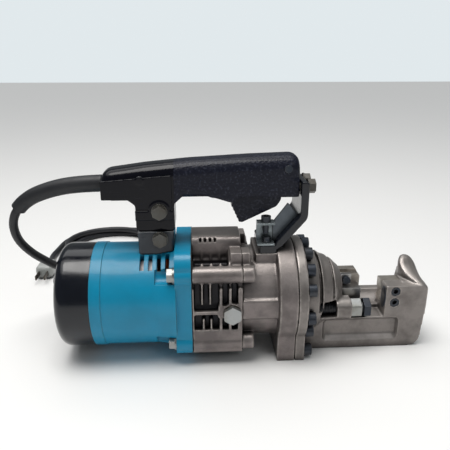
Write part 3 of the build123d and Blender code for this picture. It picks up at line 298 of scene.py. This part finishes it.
class Graph:
    """A material's node graph, with short ways to add what the finishes share."""

    MIX_COLOURS_IN = (6, 7)  # a Mix node's sockets for two colours and their mixture
    MIX_COLOUR_OUT = 2

    def __init__(self, name):
        self.material = bpy.data.materials.new(name)
        self.material.use_nodes = True
        self.tree = self.material.node_tree
        self.shader = self.tree.nodes["Principled BSDF"]
        self.place = self.add("ShaderNodeTexCoord").outputs["Object"]

    def add(self, kind, **settings):
        """Adds a node and sets its properties."""
        node = self.tree.nodes.new(kind)
        for key, value in settings.items():
            setattr(node, key, value)
        return node

    def link(self, source, target):
        """Joins an output to an input."""
        self.tree.links.new(source, target)

    def noise(self, size_mm, detail=3.0, rough=0.55, stretch=(1, 1, 1), seed=0.0):
        """A noise value whose lumps are about size_mm across."""
        mapping = self.add("ShaderNodeMapping")
        mapping.inputs["Scale"].default_value = [s / (size_mm * MM) for s in stretch]
        mapping.inputs["Location"].default_value = (seed, 1.7 * seed, 0.4 * seed)
        self.link(self.place, mapping.inputs["Vector"])
        node = self.add("ShaderNodeTexNoise")
        node.inputs["Scale"].default_value = 1.0
        node.inputs["Detail"].default_value = detail
        node.inputs["Roughness"].default_value = rough
        self.link(mapping.outputs["Vector"], node.inputs["Vector"])
        return node.outputs["Fac"]

    def cells(self, size_mm):
        """The distance to the nearest of many points about size_mm apart."""
        mapping = self.add("ShaderNodeMapping")
        mapping.inputs["Scale"].default_value = [1 / (size_mm * MM)] * 3
        self.link(self.place, mapping.inputs["Vector"])
        node = self.add("ShaderNodeTexVoronoi", feature="F1")
        node.inputs["Scale"].default_value = 1.0
        self.link(mapping.outputs["Vector"], node.inputs["Vector"])
        return node.outputs["Distance"]

    def ramp(self, value, low, high):
        """The value, stretched so that low gives 0 and high gives 1."""
        node = self.add("ShaderNodeMapRange", clamp=True)
        node.inputs["From Min"].default_value = low
        node.inputs["From Max"].default_value = high
        self.link(value, node.inputs["Value"])
        return node.outputs["Result"]

    def between(self, share, low, high):
        """A number that runs from low to high as share runs from 0 to 1."""
        node = self.add("ShaderNodeMapRange", clamp=True)
        node.inputs["To Min"].default_value = low
        node.inputs["To Max"].default_value = high
        self.link(share, node.inputs["Value"])
        return node.outputs["Result"]

    def times(self, first, second):
        """The product of two values, of which the second may be a number."""
        node = self.add("ShaderNodeMath", operation="MULTIPLY")
        self.link(first, node.inputs[0])
        if isinstance(second, (int, float)):
            node.inputs[1].default_value = second
        else:
            self.link(second, node.inputs[1])
        return node.outputs["Value"]

    def mix(self, share, first, second):
        """A colour between two colours, each a triple or an output."""
        node = self.add("ShaderNodeMix", data_type="RGBA")
        self.link(share, node.inputs["Factor"])
        for number, colour in zip(self.MIX_COLOURS_IN, (first, second)):
            self.colour_into(node.inputs[number], colour)
        return node.outputs[self.MIX_COLOUR_OUT]

    def colour_into(self, socket, colour):
        """Sets a colour socket to a triple, or links it to an output."""
        if isinstance(colour, tuple):
            socket.default_value = (*colour, 1)
        else:
            self.link(colour, socket)

    def axis(self, which):
        """The place along X, Y or Z, in metres."""
        node = self.add("ShaderNodeSeparateXYZ")
        self.link(self.place, node.inputs["Vector"])
        return node.outputs[which]

    def facing(self, which):
        """The surface normal's share along X, Y or Z."""
        face = self.add("ShaderNodeNewGeometry")
        parts = self.add("ShaderNodeSeparateXYZ")
        self.link(face.outputs["Normal"], parts.inputs["Vector"])
        return parts.outputs[which]

    def bump(self, height, depth_mm, normal=None):
        """Raises the surface by depth_mm where height is 1."""
        node = self.add("ShaderNodeBump")
        node.inputs["Strength"].default_value = 1.0
        node.inputs["Distance"].default_value = depth_mm * MM
        self.link(height, node.inputs["Height"])
        if normal is not None:
            self.link(normal, node.inputs["Normal"])
        return node.outputs["Normal"]

    def soft_edges(self, radius_mm):
        """The normal with every edge rounded off by radius_mm."""
        node = self.add("ShaderNodeBevel", samples=4)
        node.inputs["Radius"].default_value = radius_mm * MM
        return node.outputs["Normal"]

    def rubbed_and_highlit_edges(self, rounded):
        """1 on edges, where the rounded normal leaves the face's own, and 0 on faces."""
        face = self.add("ShaderNodeNewGeometry")
        dot = self.add("ShaderNodeVectorMath", operation="DOT_PRODUCT")
        self.link(face.outputs["Normal"], dot.inputs[0])
        self.link(rounded, dot.inputs[1])
        return self.ramp(dot.outputs["Value"], 0.99, 0.86)

    def ridges(self):
        """1 on outward edges of a finely meshed casting, and 0 elsewhere."""
        face = self.add("ShaderNodeNewGeometry")
        return self.ramp(face.outputs["Pointiness"], 0.508, 0.56)

    def hollows(self, reach_mm):
        """1 deep in slots and inner corners, and 0 in the open."""
        node = self.add("ShaderNodeAmbientOcclusion", samples=6)
        node.inputs["Distance"].default_value = reach_mm * MM
        return self.ramp(node.outputs["AO"], 0.80, 0.34)


def cast_shading(graph, colour, base, edge):
    """Paints light on the faces that look up, and paints shade on what lies deep in hollows."""
    # Painted light: faces that look up lean towards the pale edge colour.
    facing_up = graph.ramp(graph.facing("Z"), 0.2, 1.0)
    colour = graph.mix(graph.times(facing_up, 0.4), colour, edge)
    # Painted shade: deep hollows darken to a tenth of the base colour.
    painted_shade = tuple(0.10 * value for value in base)
    return graph.mix(graph.times(graph.hollows(13.0), 0.92), colour, painted_shade)


def make_material(name, base, patch, edge, rough, metal, coat, grain_mm, grain_depth, bevel_mm):
    """A worn finish whose lighter edges are partly painted highlight. A bevel_mm of 0 is for the finely
    meshed castings, which also get painted light and shade.
    """
    graph = Graph(name)
    shader = graph.shader
    patches = graph.ramp(graph.noise(26, 5.0, 0.6), 0.42, 0.62)
    colour = graph.mix(patches, base, patch)
    specks = graph.ramp(graph.noise(2.6, 4.0, 0.7, seed=3.0), 0.56, 0.72)
    colour = graph.mix(graph.times(specks, 0.45), colour, patch)
    broken = graph.between(graph.ramp(graph.noise(5, 3.0, seed=7.0), 0.35, 0.6), 0.25, 1.0)
    normal = graph.soft_edges(bevel_mm) if bevel_mm else None
    edges = graph.rubbed_and_highlit_edges(normal) if bevel_mm else graph.ridges()
    # Edges lighter: partly rubbed wear, partly painted highlight.
    colour = graph.mix(graph.times(edges, broken), colour, edge)
    # Castings get painted light on upward faces and painted shade in hollows.
    if not bevel_mm:
        colour = cast_shading(graph, colour, base, edge)
    graph.link(colour, shader.inputs["Base Color"])
    smears = graph.ramp(graph.noise(14, 6.0, 0.65, (1, 1, 2.5), 11.0), 0.35, 0.68)
    graph.link(graph.between(smears, *rough), shader.inputs["Roughness"])
    shader.inputs["Metallic"].default_value = metal
    shader.inputs["Specular IOR Level"].default_value = 0.35
    shader.inputs["Coat Weight"].default_value = coat
    shader.inputs["Coat Roughness"].default_value = 0.08
    grain = graph.noise(grain_mm, 4.0, 0.6, seed=5.0)
    graph.link(graph.bump(grain, grain_depth, normal), shader.inputs["Normal"])
    return graph


def make_grip_material():
    """Black moulded plastic, smooth over the leg and pebbled from there to the front."""
    graph = make_material("handle_black", **FINISHES["cap_gloss"])
    shader = graph.shader
    front = graph.ramp(graph.axis("X"), -73.5 * MM, -72.0 * MM)
    pebbles = graph.ramp(graph.cells(2.1), 0.20, 0.75)
    graph.link(graph.bump(graph.times(pebbles, front), 0.25), shader.inputs["Normal"])
    colour = graph.mix(front, (0.003, 0.003, 0.006), (0.007, 0.008, 0.017))
    # Painted glints: light specks on the pebbled front stand in for its highlights.
    glints = graph.times(graph.ramp(graph.noise(2.3, 2.0, seed=9.0), 0.54, 0.68), front)
    colour = graph.mix(graph.times(glints, 0.8), colour, (0.034, 0.038, 0.058))
    scuffs = graph.ramp(graph.noise(9, 6.0, 0.7, (1, 1, 3), 2.0), 0.62, 0.76)
    colour = graph.mix(graph.times(scuffs, 0.18), colour, (0.06, 0.065, 0.075))
    graph.link(colour, shader.inputs["Base Color"])
    graph.link(graph.between(front, 0.16, 0.40), shader.inputs["Roughness"])
    shader.inputs["Coat Weight"].default_value = 0.15
    shader.inputs["Specular IOR Level"].default_value = 0.15
    return graph


def make_case_material():
    """The cast finish, with painted shade on the walls deep between the pump case's fins."""
    graph = make_material("case_iron", **FINISHES["cast_brown"])
    base_input = graph.shader.inputs["Base Color"]
    colour = base_input.links[0].from_socket
    reach = graph.add("ShaderNodeMath", operation="ABSOLUTE")
    graph.link(graph.axis("Y"), reach.inputs[0])
    for (outer, inner), (above, under), share, shade_colour in PAINTED_SHADE_DEPTHS:
        deep = graph.ramp(reach.outputs["Value"], outer * MM, inner * MM)
        low = graph.ramp(graph.axis("Z"), above * MM, under * MM)
        # Painted shade: the deep, low walls between the fins darken.
        colour = graph.mix(graph.times(graph.times(deep, low), share), colour, shade_colour)
    graph.link(colour, base_input)
    return graph


def paint_everything():
    """Gives every CAD node the finish of its slot or its own, and returns the finishes."""
    finishes = {name: make_material(name, **values).material for name, values in FINISHES.items()}
    finishes["handle_black"] = make_grip_material().material
    finishes["case_iron"] = make_case_material().material
    for part in frame["record"]["subparts"]:
        mesh = frame["nodes"][part["node"]].data
        mesh.materials.clear()
        mesh.materials.append(finishes[OWN_FINISH.get(part["node"], part["material_slot"])])
    return finishes


def finish_piece(piece, slot_name, body="body", look=None):
    """Paints a piece and lets it ride on its body. look is a finish other than the slot's."""
    piece.data.materials.clear()
    piece.data.materials.append(finishes[look or slot_name])
    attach(piece, body)
    return piece


# ---- solids ----
def solid_rod(work, radius, start, end, radius_end=None, sides=40):
    """Adds a rod, or a cone, between two points in millimetres."""
    a, b = millimetres(*start), millimetres(*end)
    turn = (b - a).to_track_quat("Z", "Y").to_matrix().to_4x4()
    place = Matrix.Translation((a + b) / 2) @ turn
    far = radius if radius_end is None else radius_end
    size = {"radius1": radius * MM, "radius2": far * MM, "depth": (b - a).length}
    bmesh.ops.create_cone(work, cap_ends=True, segments=sides, matrix=place, **size)


def solid_box(work, x0, x1, y0, y1, z0, z1):
    """Adds a block between two corners in millimetres."""
    size = Matrix.Diagonal(((x1 - x0) * MM, (y1 - y0) * MM, (z1 - z0) * MM, 1))
    middle = millimetres((x0 + x1) / 2, (y0 + y1) / 2, (z0 + z1) / 2)
    bmesh.ops.create_cube(work, size=1, matrix=Matrix.Translation(middle) @ size)


def solid_prism(work, outline, low, high, upright=False):
    """Adds a plate, from low to high in y with (x, z) points, or upright with (x, y) points."""
    ends = []
    for level in (low, high):
        places = [(x, other, level) if upright else (x, level, other) for x, other in outline]
        ends.append([work.verts.new(millimetres(*place)) for place in places])
    near, far = ends
    faces = [work.faces.new(near), work.faces.new(far[::-1])]
    for i, here in enumerate(near):
        after = (i + 1) % len(near)
        faces.append(work.faces.new((here, far[i], far[after], near[after])))
    bmesh.ops.recalc_face_normals(work, faces=faces)


def solid_skin(work, loops):
    """Adds a closed solid through loops of points in millimetres."""
    rows = [[work.verts.new(millimetres(*place)) for place in loop] for loop in loops]
    faces = [work.faces.new(rows[0]), work.faces.new(rows[-1][::-1])]
    for row, after in zip(rows, rows[1:]):
        for i in range(len(row)):
            j = (i + 1) % len(row)
            faces.append(work.faces.new((row[i], row[j], after[j], after[i])))
    bmesh.ops.recalc_face_normals(work, faces=faces)


def solid_turned(work, profile, from_deg, to_deg, steps=48):
    """Adds part of a ring about the tool's axis, with a profile of (x, radius) points."""
    loops = []
    for step in range(steps + 1):
        angle = math.radians(from_deg + (to_deg - from_deg) * step / steps)
        side, up = math.cos(angle), math.sin(angle)
        loops.append([(x, radius * side, AXIS_Z + radius * up) for x, radius in profile])
    solid_skin(work, loops)


def linked_object(name, work):
    """A new object in the scene with the mesh that was being worked on."""
    mesh = bpy.data.meshes.new(name)
    work.to_mesh(mesh)
    work.free()
    made = bpy.data.objects.new(name, mesh)
    bpy.context.scene.collection.objects.link(made)
    return made


def evaluated_mesh(piece):
    """The piece's mesh with its modifiers carried out."""
    bpy.context.view_layer.update()
    made = piece.evaluated_get(bpy.context.evaluated_depsgraph_get())
    return bpy.data.meshes.new_from_object(made)


def add_solids(work, boxes=(), rods=(), prisms=(), turned=(), skins=()):
    """Adds blocks, rods, plates, parts of rings and skins, each given by its own numbers."""
    for corners in boxes:
        solid_box(work, *corners)
    for rod in rods:
        solid_rod(work, *rod)
    for prism in prisms:
        solid_prism(work, *prism)
    for ring in turned:
        solid_turned(work, *ring)
    for loops in skins:
        solid_skin(work, loops)


def carved(mesh, cuts):
    """The mesh with solids cut out of it."""
    piece = bpy.data.objects.new("carved", mesh)
    bpy.context.scene.collection.objects.link(piece)
    work = bmesh.new()
    add_solids(work, **cuts)
    knife = linked_object("knife", work)
    cut = piece.modifiers.new("cut", "BOOLEAN")
    cut.operation = "DIFFERENCE"
    cut.solver = "EXACT"
    cut.use_self = True
    cut.object = knife
    result = evaluated_mesh(piece)
    bpy.data.objects.remove(piece)
    bpy.data.objects.remove(knife)
    return result


def casting(
    name, nodes, slot_name, voxel_mm, rounds,
    share=0.4, cuts=None, adds=None, body="body", look=None, redrawn=False,
):
    """One smooth skin over CAD nodes, cut and built up, with its edges rounded off.

    The nodes are cut before anything is added. rounds is how often the skin is smoothed, and
    share is how many of its triangles stay. A redrawn piece has the added solids only, in
    place of the nodes.
    """
    work = bmesh.new()
    for node in () if redrawn else nodes:
        source = frame["nodes"][node]
        copy = source.data.copy()
        copy.transform(source.matrix_world)
        work.from_mesh(carved(copy, cuts) if cuts else copy)
    add_solids(work, **(adds or {}))
    piece = linked_object(name, work)
    remesh = piece.modifiers.new("remesh", "REMESH")
    remesh.mode = "VOXEL"
    remesh.voxel_size = voxel_mm * MM
    remesh.use_smooth_shade = True
    smooth = piece.modifiers.new("smooth", "SMOOTH")
    smooth.iterations = rounds
    thin = piece.modifiers.new("thin", "DECIMATE")
    thin.ratio = share
    skin = evaluated_mesh(piece)
    piece.modifiers.clear()
    piece.data = skin
    skin.polygons.foreach_set("use_smooth", [True] * len(skin.polygons))
    if nodes:
        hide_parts(*nodes)
    finish_piece(piece, slot_name, body, look)


def both_sides(boxes):
    """Blocks on the left side, and the same on the right."""
    return [*boxes, *[(x0, x1, -y1, -y0, z0, z1) for x0, x1, y0, y1, z0, z1 in boxes]]


# ---- handle ----
# Outlines are points of x and z.
GRIP_X0 = -145.2
GRIP_X1 = 52.8
GRIP_HALF_Y = 18.8
GRIP_TOP = [(-145.2, 198.2), (-102, 204.1), (-60, 208.0), (0, 211.3), (52.8, 213.0)]
GRIP_LOW_Z = 171.7
GRIP_TAIL_X = -112  # the grip is deeper from here to its rear end
GRIP_TAIL_LOW_Z = 169.3
GRIP_TOP_R = 12.5
GRIP_LOW_R = 7.0
GRIP_END_R = 9.0  # rounding of both ends
GRIP_END_STEPS = (0.1, 1, 2.5, 5, 9)  # sections at these distances from both ends
GRIP_REAR_XS = (-125, -102, -80, -60, -40)
SLOT_X0 = -20.5  # the trigger's slot starts here and runs to the front
OVER_SLOT_XS = (SLOT_X0 - 1, 0, 25)
SLOT_TOP_Z = 185.5
SLOT_TOP_R = 1.0
SLOT_HALF_Y = 9.6
SLOT_END = (38, 52.0, -18, 18, 171, 187)  # the block that closes the slot at the front
GRIP_LEG = [
    (-120, 171), (-112, 165), (-112, 138.4), (-73, 138.4), (-73, 166), (-66, 172), (-66, 190), (-120, 190),
]
GRIP_CHIN = [(-38, 171.7), (-33, 171.5), (SLOT_X0, 167.4), (SLOT_X0, 190), (-38, 190)]
GRIP_CHEEK = [
    (SLOT_X0 - 1, 167.6), (-15, 166), (-9, 172.6), (19, 172.6), (22, 171), (52.0, 171), (52.0, 189),
    (SLOT_X0 - 1, 189),
]
LEG_PANEL = [
    (-144.4, 170.9), (-144.4, 190.0), (-75.0, 195.4), (-75.0, 161.4), (-111.4, 161.4),
    (-111.4, 165.0), (-116, 170.6),
]
LEG_STRAP = [(-112.0, 149.8), (-112.0, 159.6), (-74.2, 159.6), (-74.2, 149.8)]
PANEL_HALF_Y = 19.6
STRAP_HALF_Y = 20.1
# radius and two ends of the round rims about the leg's bolt and the shells' rear screw
PANEL_RIMS = [
    (10.6, (-88, -20.2, 158.9), (-88, 20.2, 158.9)),
    (3.9, (-106, -20.3, 190.5), (-106, 20.3, 190.5)),
]
RIDGE_R = 1.3
RIDGE_HALF_Y = 8.2
RIDGE_PLACES = [(-14.2, 160), (-12.4, 156), (-10.6, 152), (-8.8, 148), (-7.0, 144)]


def grip_top(x):
    """Height of the grip's top line."""
    for (x0, z0), (x1, z1) in zip(GRIP_TOP, GRIP_TOP[1:]):
        if x <= x1:
            return z0 + (z1 - z0) * (x - x0) / (x1 - x0)
    return GRIP_TOP[-1][1]


def grip_section(x, bottom, bottom_r):
    """The grip's rounded section at x, smaller where an end rounds off."""
    depth = min(x - GRIP_X0, GRIP_X1 - x, GRIP_END_R)
    inset = GRIP_END_R - math.sqrt(GRIP_END_R**2 - (GRIP_END_R - depth) ** 2)
    half, top, low = GRIP_HALF_Y - 0.6 * inset, grip_top(x) - inset, bottom + 0.4 * inset
    points = []
    upper, lower = (GRIP_TOP_R, top), (bottom_r, low)
    for quarter, (radius, level) in enumerate((upper, upper, lower, lower)):
        side = 1 if quarter in (0, 3) else -1
        rise = 1 if quarter < 2 else -1
        for step in range(7):
            angle = math.radians(90 * quarter + 15 * step)
            y = side * (half - radius) + radius * math.cos(angle)
            points.append((x, y, level - rise * radius + radius * math.sin(angle)))
    return points


def add_handle():
    """The moulded grip with rounded edges, its leg's raised panel, and the trigger."""
    rear = [*[GRIP_X0 + step for step in GRIP_END_STEPS], *GRIP_REAR_XS, SLOT_X0]
    front = [*OVER_SLOT_XS, *[GRIP_X1 - step for step in reversed(GRIP_END_STEPS)]]
    behind = [grip_section(x, GRIP_TAIL_LOW_Z if x < GRIP_TAIL_X else GRIP_LOW_Z, GRIP_LOW_R) for x in rear]
    above_slot = [grip_section(x, SLOT_TOP_Z, SLOT_TOP_R) for x in front]
    prisms = [
        (GRIP_LEG, -GRIP_HALF_Y, GRIP_HALF_Y),
        (GRIP_CHIN, -GRIP_HALF_Y, GRIP_HALF_Y),
        (GRIP_CHEEK, -GRIP_HALF_Y, -SLOT_HALF_Y),
        (GRIP_CHEEK, SLOT_HALF_Y, GRIP_HALF_Y),
    ]
    adds = {"skins": [behind, above_slot], "prisms": prisms, "boxes": [SLOT_END]}
    casting(
        "handle_grip", ["handle_left", "handle_right"], "handle_black",
        voxel_mm=1.1, rounds=12, adds=adds, redrawn=True,
    )
    plates = [(LEG_PANEL, -PANEL_HALF_Y, PANEL_HALF_Y), (LEG_STRAP, -STRAP_HALF_Y, STRAP_HALF_Y)]
    adds = {"prisms": plates, "rods": PANEL_RIMS}
    casting("handle_panel", [], "handle_black", voxel_mm=0.7, rounds=4, adds=adds)
    adds = {"rods": [(RIDGE_R, (x, -RIDGE_HALF_Y, z), (x, RIDGE_HALF_Y, z)) for x, z in RIDGE_PLACES]}
    casting(
        "trigger_button", ["trigger"], "handle_black",
        voxel_mm=0.7, rounds=4, adds=adds, body="trigger_lever",
    )


# ---- castings ----
# Blocks are given by x from and to, y from and to, z from and to. Those of the pump case and of
# the cylinder are the left side's, and the right side has the same.
CASE_CUTS = [
    (-55.5, -31.0, -60, -42.5, 62.5, 91.0),
    (-55.5, -31.5, -60, -42.5, 41.5, 59.0),
    (-55.5, -20.0, -38, -20.3, 101.5, 125.0),
    (-57.5, -6.0, -60, -46.8, 88.0, 112.0),
]
CASE_BOXES = [
    (-56.0, -10.0, -50.8, -42, 28.0, 41.5),
    (-48.2, -46.3, -50.2, -42, 70.0, 93.0),
    (-40.0, -38.1, -50.2, -42, 70.0, 93.0),
    (-46.9, -45.0, -50.2, -42, 40.0, 54.0),
    (-39.1, -37.2, -50.2, -42, 40.0, 54.0),
    (-18.5, -6.6, -38, -20, 104.0, 120.0),
]
RAIL_R = 8.5
RAIL_X0 = -56.9
RAIL_X1 = -6.6
RAIL_Y = 44
RAIL_Z = 100
REAR_PAD = (-6.6, 2.0, -38, -20, 104.0, 120.0)
# grooves about the axis: points of x and radius, and the angles from and to
CONE_VALLEY = ([(71.5, 53), (75.0, 37.6), (77.0, 36.8), (79.5, 53)], -14, 194)
CONE_NECK = ([(87.5, 53), (90.3, 31.6), (91.7, 31.2), (94.0, 53)], 2, 178)
# the far corner, cut off upright: points of x and y, and z from and to
FAR_CORNER = ([(168, SHEAR_Y), (181.2, 27.5), (168, 27.5)], 50.4, 100, True)
STOPPER_WINDOW = (76.5, 94.0, -40, -17, 43.5, 62.5)
HOOK_SPACE = (160, 200, -27, 27, 74.0, 100)  # here the CAD's plainer hook is cut away
HOOK_BASE_Z = 60.0
HOOK_END_X = 195.7
# the hook's side shape: shares of its length and of its height
HOOK_SHAPE = [
    (0, 0), (0, 0.84), (0.06, 0.95), (0.22, 1.0), (0.45, 0.985), (0.66, 0.91), (0.82, 0.79), (0.93, 0.62),
    (0.99, 0.40), (1, 0),
]
# the hook from the near side to the far side: y, x where it starts, top
HOOK_SECTIONS = [
    (-25, 186, 73.5), (-21, 182, 76), (-15, 177.5, 79), (-9, 174, 82), (-4, 172.5, 84.8), (0, 171.7, 87.5),
    (3, 171.6, 90), (6, 172.5, 92.3), (10, 174, 93.9), (14, 176, 93.5), (18, 178, 91.2), (22, 180.5, 86),
    (24.5, 182.5, 79),
]
STAY_WEB = [(26.5, 122.6), (26.5, 144.5), (41.5, 164.5), (52.5, 151.5), (40.0, 135.0), (29.0, 122.6)]
STAY_WEB_Y = (-15.5, -12)
# Painted shade: a dark oval on the fixed cutter's near side stands in for its shaded scallop.
SCALLOP_SHADE = (-19.8, 58.5, 6.1, 12.6)  # middle in y and z, half its width and its height
SCALLOP_SHADE_XS = (ANVIL_X - 0.9, ANVIL_X + 1)


def hook_loops():
    """The hook's sections, a smooth crest that falls away to both sides."""
    loops = []
    for y, start, top in HOOK_SECTIONS:
        length, height = HOOK_END_X - start, top - HOOK_BASE_Z
        loops.append([(start + length * u, y, HOOK_BASE_Z + height * v) for u, v in HOOK_SHAPE])
    return loops


def oval(x, y, z, half_y, half_z, steps=32):
    """Points of an oval that lies across the tool's length."""
    angles = [2 * math.pi * step / steps for step in range(steps)]
    return [(x, y + half_y * math.cos(angle), z + half_z * math.sin(angle)) for angle in angles]


def add_castings():
    """The worn iron and steel castings, each a smooth skin over its CAD nodes, and a dark oval of painted
    shade on the fixed cutter.
    """
    cuts = {"boxes": [STOPPER_WINDOW, HOOK_SPACE], "turned": [CONE_VALLEY, CONE_NECK], "prisms": [FAR_CORNER]}
    adds = {"skins": [hook_loops()]}
    casting("jaw_casting", ["c_frame"], "forged_brown", voxel_mm=1.0, rounds=4, cuts=cuts, adds=adds)
    adds = {"boxes": both_sides([REAR_PAD])}
    casting("cylinder_casting", ["cylinder"], "cast_brown", voxel_mm=1.1, rounds=4, adds=adds)
    cuts = {"boxes": both_sides(CASE_CUTS)}
    rails = [(RAIL_R, (RAIL_X0, y, RAIL_Z), (RAIL_X1, y, RAIL_Z)) for y in (-RAIL_Y, RAIL_Y)]
    adds = {"boxes": both_sides(CASE_BOXES), "rods": rails}
    casting(
        "pump_casting", ["pump_case"], "cast_brown",
        voxel_mm=0.9, rounds=3, share=0.35, cuts=cuts, adds=adds, look="case_iron",
    )
    casting("saddle_casting", ["rear_bracket"], "bracket_black", voxel_mm=0.9, rounds=3)
    casting("front_plate", ["front_bracket"], "bracket_black", voxel_mm=0.8, rounds=3, look="cap_gloss")
    adds = {"prisms": [(STAY_WEB, *STAY_WEB_Y)]}
    casting("stay_web", [], "zinc_steel", voxel_mm=0.7, rounds=3, adds=adds, look="plate_grey")
    # Painted shade: the dark oval in place of the fixed cutter's shaded scallop.
    adds = {"skins": [[oval(x, *SCALLOP_SHADE) for x in SCALLOP_SHADE_XS]]}
    casting("scallop_shade", [], "screw_black", voxel_mm=0.6, rounds=3, adds=adds)


# ---- bar stopper ----
STOPPER_Y = -26.5
STOPPER_Z = 50.0
STOPPER_PITCH = 1.75
STOPPER_TURNS = 27
STOPPER_X0 = 77.0
STOPPER_THREAD_X0 = 77.4
STOPPER_SHANK_X1 = 124.5
STOPPER_ROOT_R = 5.1
STOPPER_CREST_R = 5.95
NEAR_AXIS_R = 0.01  # where the shank's round ends close
HEAD_XS = (124.0, 131.0, 131.9)  # the hexagon from, to, and to the end of its chamfer
HEAD_R = 10.9
CHAMFER_RS = (10.6, 9.0)


def add_stopper():
    """The threaded bar stopper, which slides with its joint."""
    profile = [(STOPPER_X0, NEAR_AXIS_R)]
    for i in range(STOPPER_TURNS):
        x = STOPPER_THREAD_X0 + STOPPER_PITCH * i
        profile += [(x, STOPPER_ROOT_R), (x + 0.5 * STOPPER_PITCH, STOPPER_CREST_R)]
    profile += [(STOPPER_SHANK_X1, STOPPER_ROOT_R), (STOPPER_SHANK_X1, NEAR_AXIS_R)]
    work = bmesh.new()
    solid_turned(work, profile, 0, 360)
    bmesh.ops.translate(work, verts=work.verts, vec=millimetres(0, STOPPER_Y, STOPPER_Z - AXIS_Z))
    start, face, end = ((x, STOPPER_Y, STOPPER_Z) for x in HEAD_XS)
    solid_rod(work, HEAD_R, start, face, sides=6)
    solid_rod(work, CHAMFER_RS[0], face, end, CHAMFER_RS[1], sides=6)
    piece = linked_object("stopper_screw", work)
    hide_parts("stopper_bolt")
    finish_piece(piece, "screw_black", "stopper")


# ---- cord ----
CORD_D = 9.0
# the cord's route from the handle to its coil, and from the coil to the plug
LEAD = [
    (-145.4, 0, 184),
    (-172, 0, 183.5),
    (-200, 0, 178),
    (-223.5, 1, 168),
    (-240.5, 4, 148.5),
    (-243, 12, 123.5),
    (-235.5, 25.5, 101.5),
    (-223.5, 44, 81),
    (-209, 67, 59),
    (-197, 92, 38),
    (-191.5, 118, 19),
    (-188.5, 143, 8),
    (-178, 167, 4.8),
    (-158, 188, 4.6),
    (-139, 206, 4.6),
    (-124, 225, 4.6),
]
TAIL = [(-279, 269, 4.6), (-281, 252, 4.6), (-279, 235, 5.5), (-275, 219, 8), (-273, 203, 9)]
SLEEVE_RADII = (8.7, 8.5, 8.2, 7.9, 7.6)
COIL_CENTRE = (-190.0, 290.0)
COIL_RX = 86.0
COIL_RY = 76.0
COIL_START_DEG = -38
COIL_TURNS = 3.63
POINTS_PER_TURN = 14
FLOOR_TO_CORD = 4.6  # height of the cord's middle on the floor
OVER_RISE = 9.2  # how far it climbs to lie on the turns before it
OVER_START = 2.05  # turns after which it climbs
OVER_END = 3.0  # turns after which it comes down
CLIMB_TURNS = 0.25
DESCENT_TURNS = 0.35
# the coil's turns as shares of its radii: the first one, how far the next ones shrink, the last one
TURN_SIZES = (0.96, 0.26, 1.04)
SHRUNK_AT = 2.3  # turns after which they shrink no further
GROWS_FROM = 2.15  # turns after which they widen again, until they come down
WAVER = 0.012  # unevenness of the turns


def eased(share):
    """0 to 1 along a smooth step, for a share that may lie outside 0 to 1."""
    share = min(1.0, max(0.0, share))
    return share * share * (3 - 2 * share)


def coil_points():
    """The loose turns on the floor, anticlockwise, from the lead to the tail."""
    points = []
    first, shrinks, last = TURN_SIZES
    count = int(POINTS_PER_TURN * COIL_TURNS)
    for i in range(1, count):
        turn = COIL_TURNS * i / count
        angle = math.radians(COIL_START_DEG) + 2 * math.pi * turn
        inward = first - shrinks * min(turn, SHRUNK_AT) / SHRUNK_AT
        size = inward + (last - inward) * eased((turn - GROWS_FROM) / (OVER_END - GROWS_FROM))
        size += WAVER * math.sin(3.0 * angle)
        climb = eased((turn - OVER_START) / CLIMB_TURNS) * (1 - eased((turn - OVER_END) / DESCENT_TURNS))
        x = COIL_CENTRE[0] + COIL_RX * size * math.cos(angle)
        y = COIL_CENTRE[1] + COIL_RY * size * math.sin(angle)
        points.append((x, y, FLOOR_TO_CORD + OVER_RISE * climb))
    return points


def nurbs(name, points, radius):
    """A smooth curve with the points, in millimetres, as its control points."""
    data = bpy.data.curves.new(name, "CURVE")
    data.dimensions = "3D"
    data.bevel_depth = radius * MM
    data.bevel_resolution = 5
    data.use_fill_caps = True
    spline = data.splines.new("NURBS")
    spline.points.add(len(points) - 1)
    for point, place in zip(spline.points, points):
        point.co = (*(Vector(place) * MM), 1)
    spline.order_u = 3
    spline.use_endpoint_u = True
    spline.resolution_u = 8
    piece = bpy.data.objects.new(name, data)
    bpy.context.scene.collection.objects.link(piece)
    return piece


def add_cord():
    """The mains cord from the handle, through its coil, to the plug."""
    cord = nurbs("mains_cord", LEAD + coil_points() + TAIL, CORD_D / 2)
    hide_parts("cord_tube", "cord_coil")
    return finish_piece(cord, "cord_rubber")


def add_sleeve():
    """The long rubber sleeve at the handle, thinner towards its end."""
    end = tuple((a + b) / 2 for a, b in zip(LEAD[3], LEAD[4]))
    sleeve = nurbs("cord_sleeve", LEAD[:4] + [end], 1.0)
    for point, radius in zip(sleeve.data.splines[0].points, SLEEVE_RADII):
        point.radius = radius
    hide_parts("cord_guard")
    finish_piece(sleeve, "black_rubber")


add_camera()
add_floor()
add_world()
add_lights()
finishes = paint_everything()
add_castings()
add_handle()
add_stopper()
casting("plug_moulding", ["plug_body"], "plug_plastic", voxel_mm=0.9, rounds=20)
cord = add_cord()
add_sleeve()
bpy.context.view_layer.update()
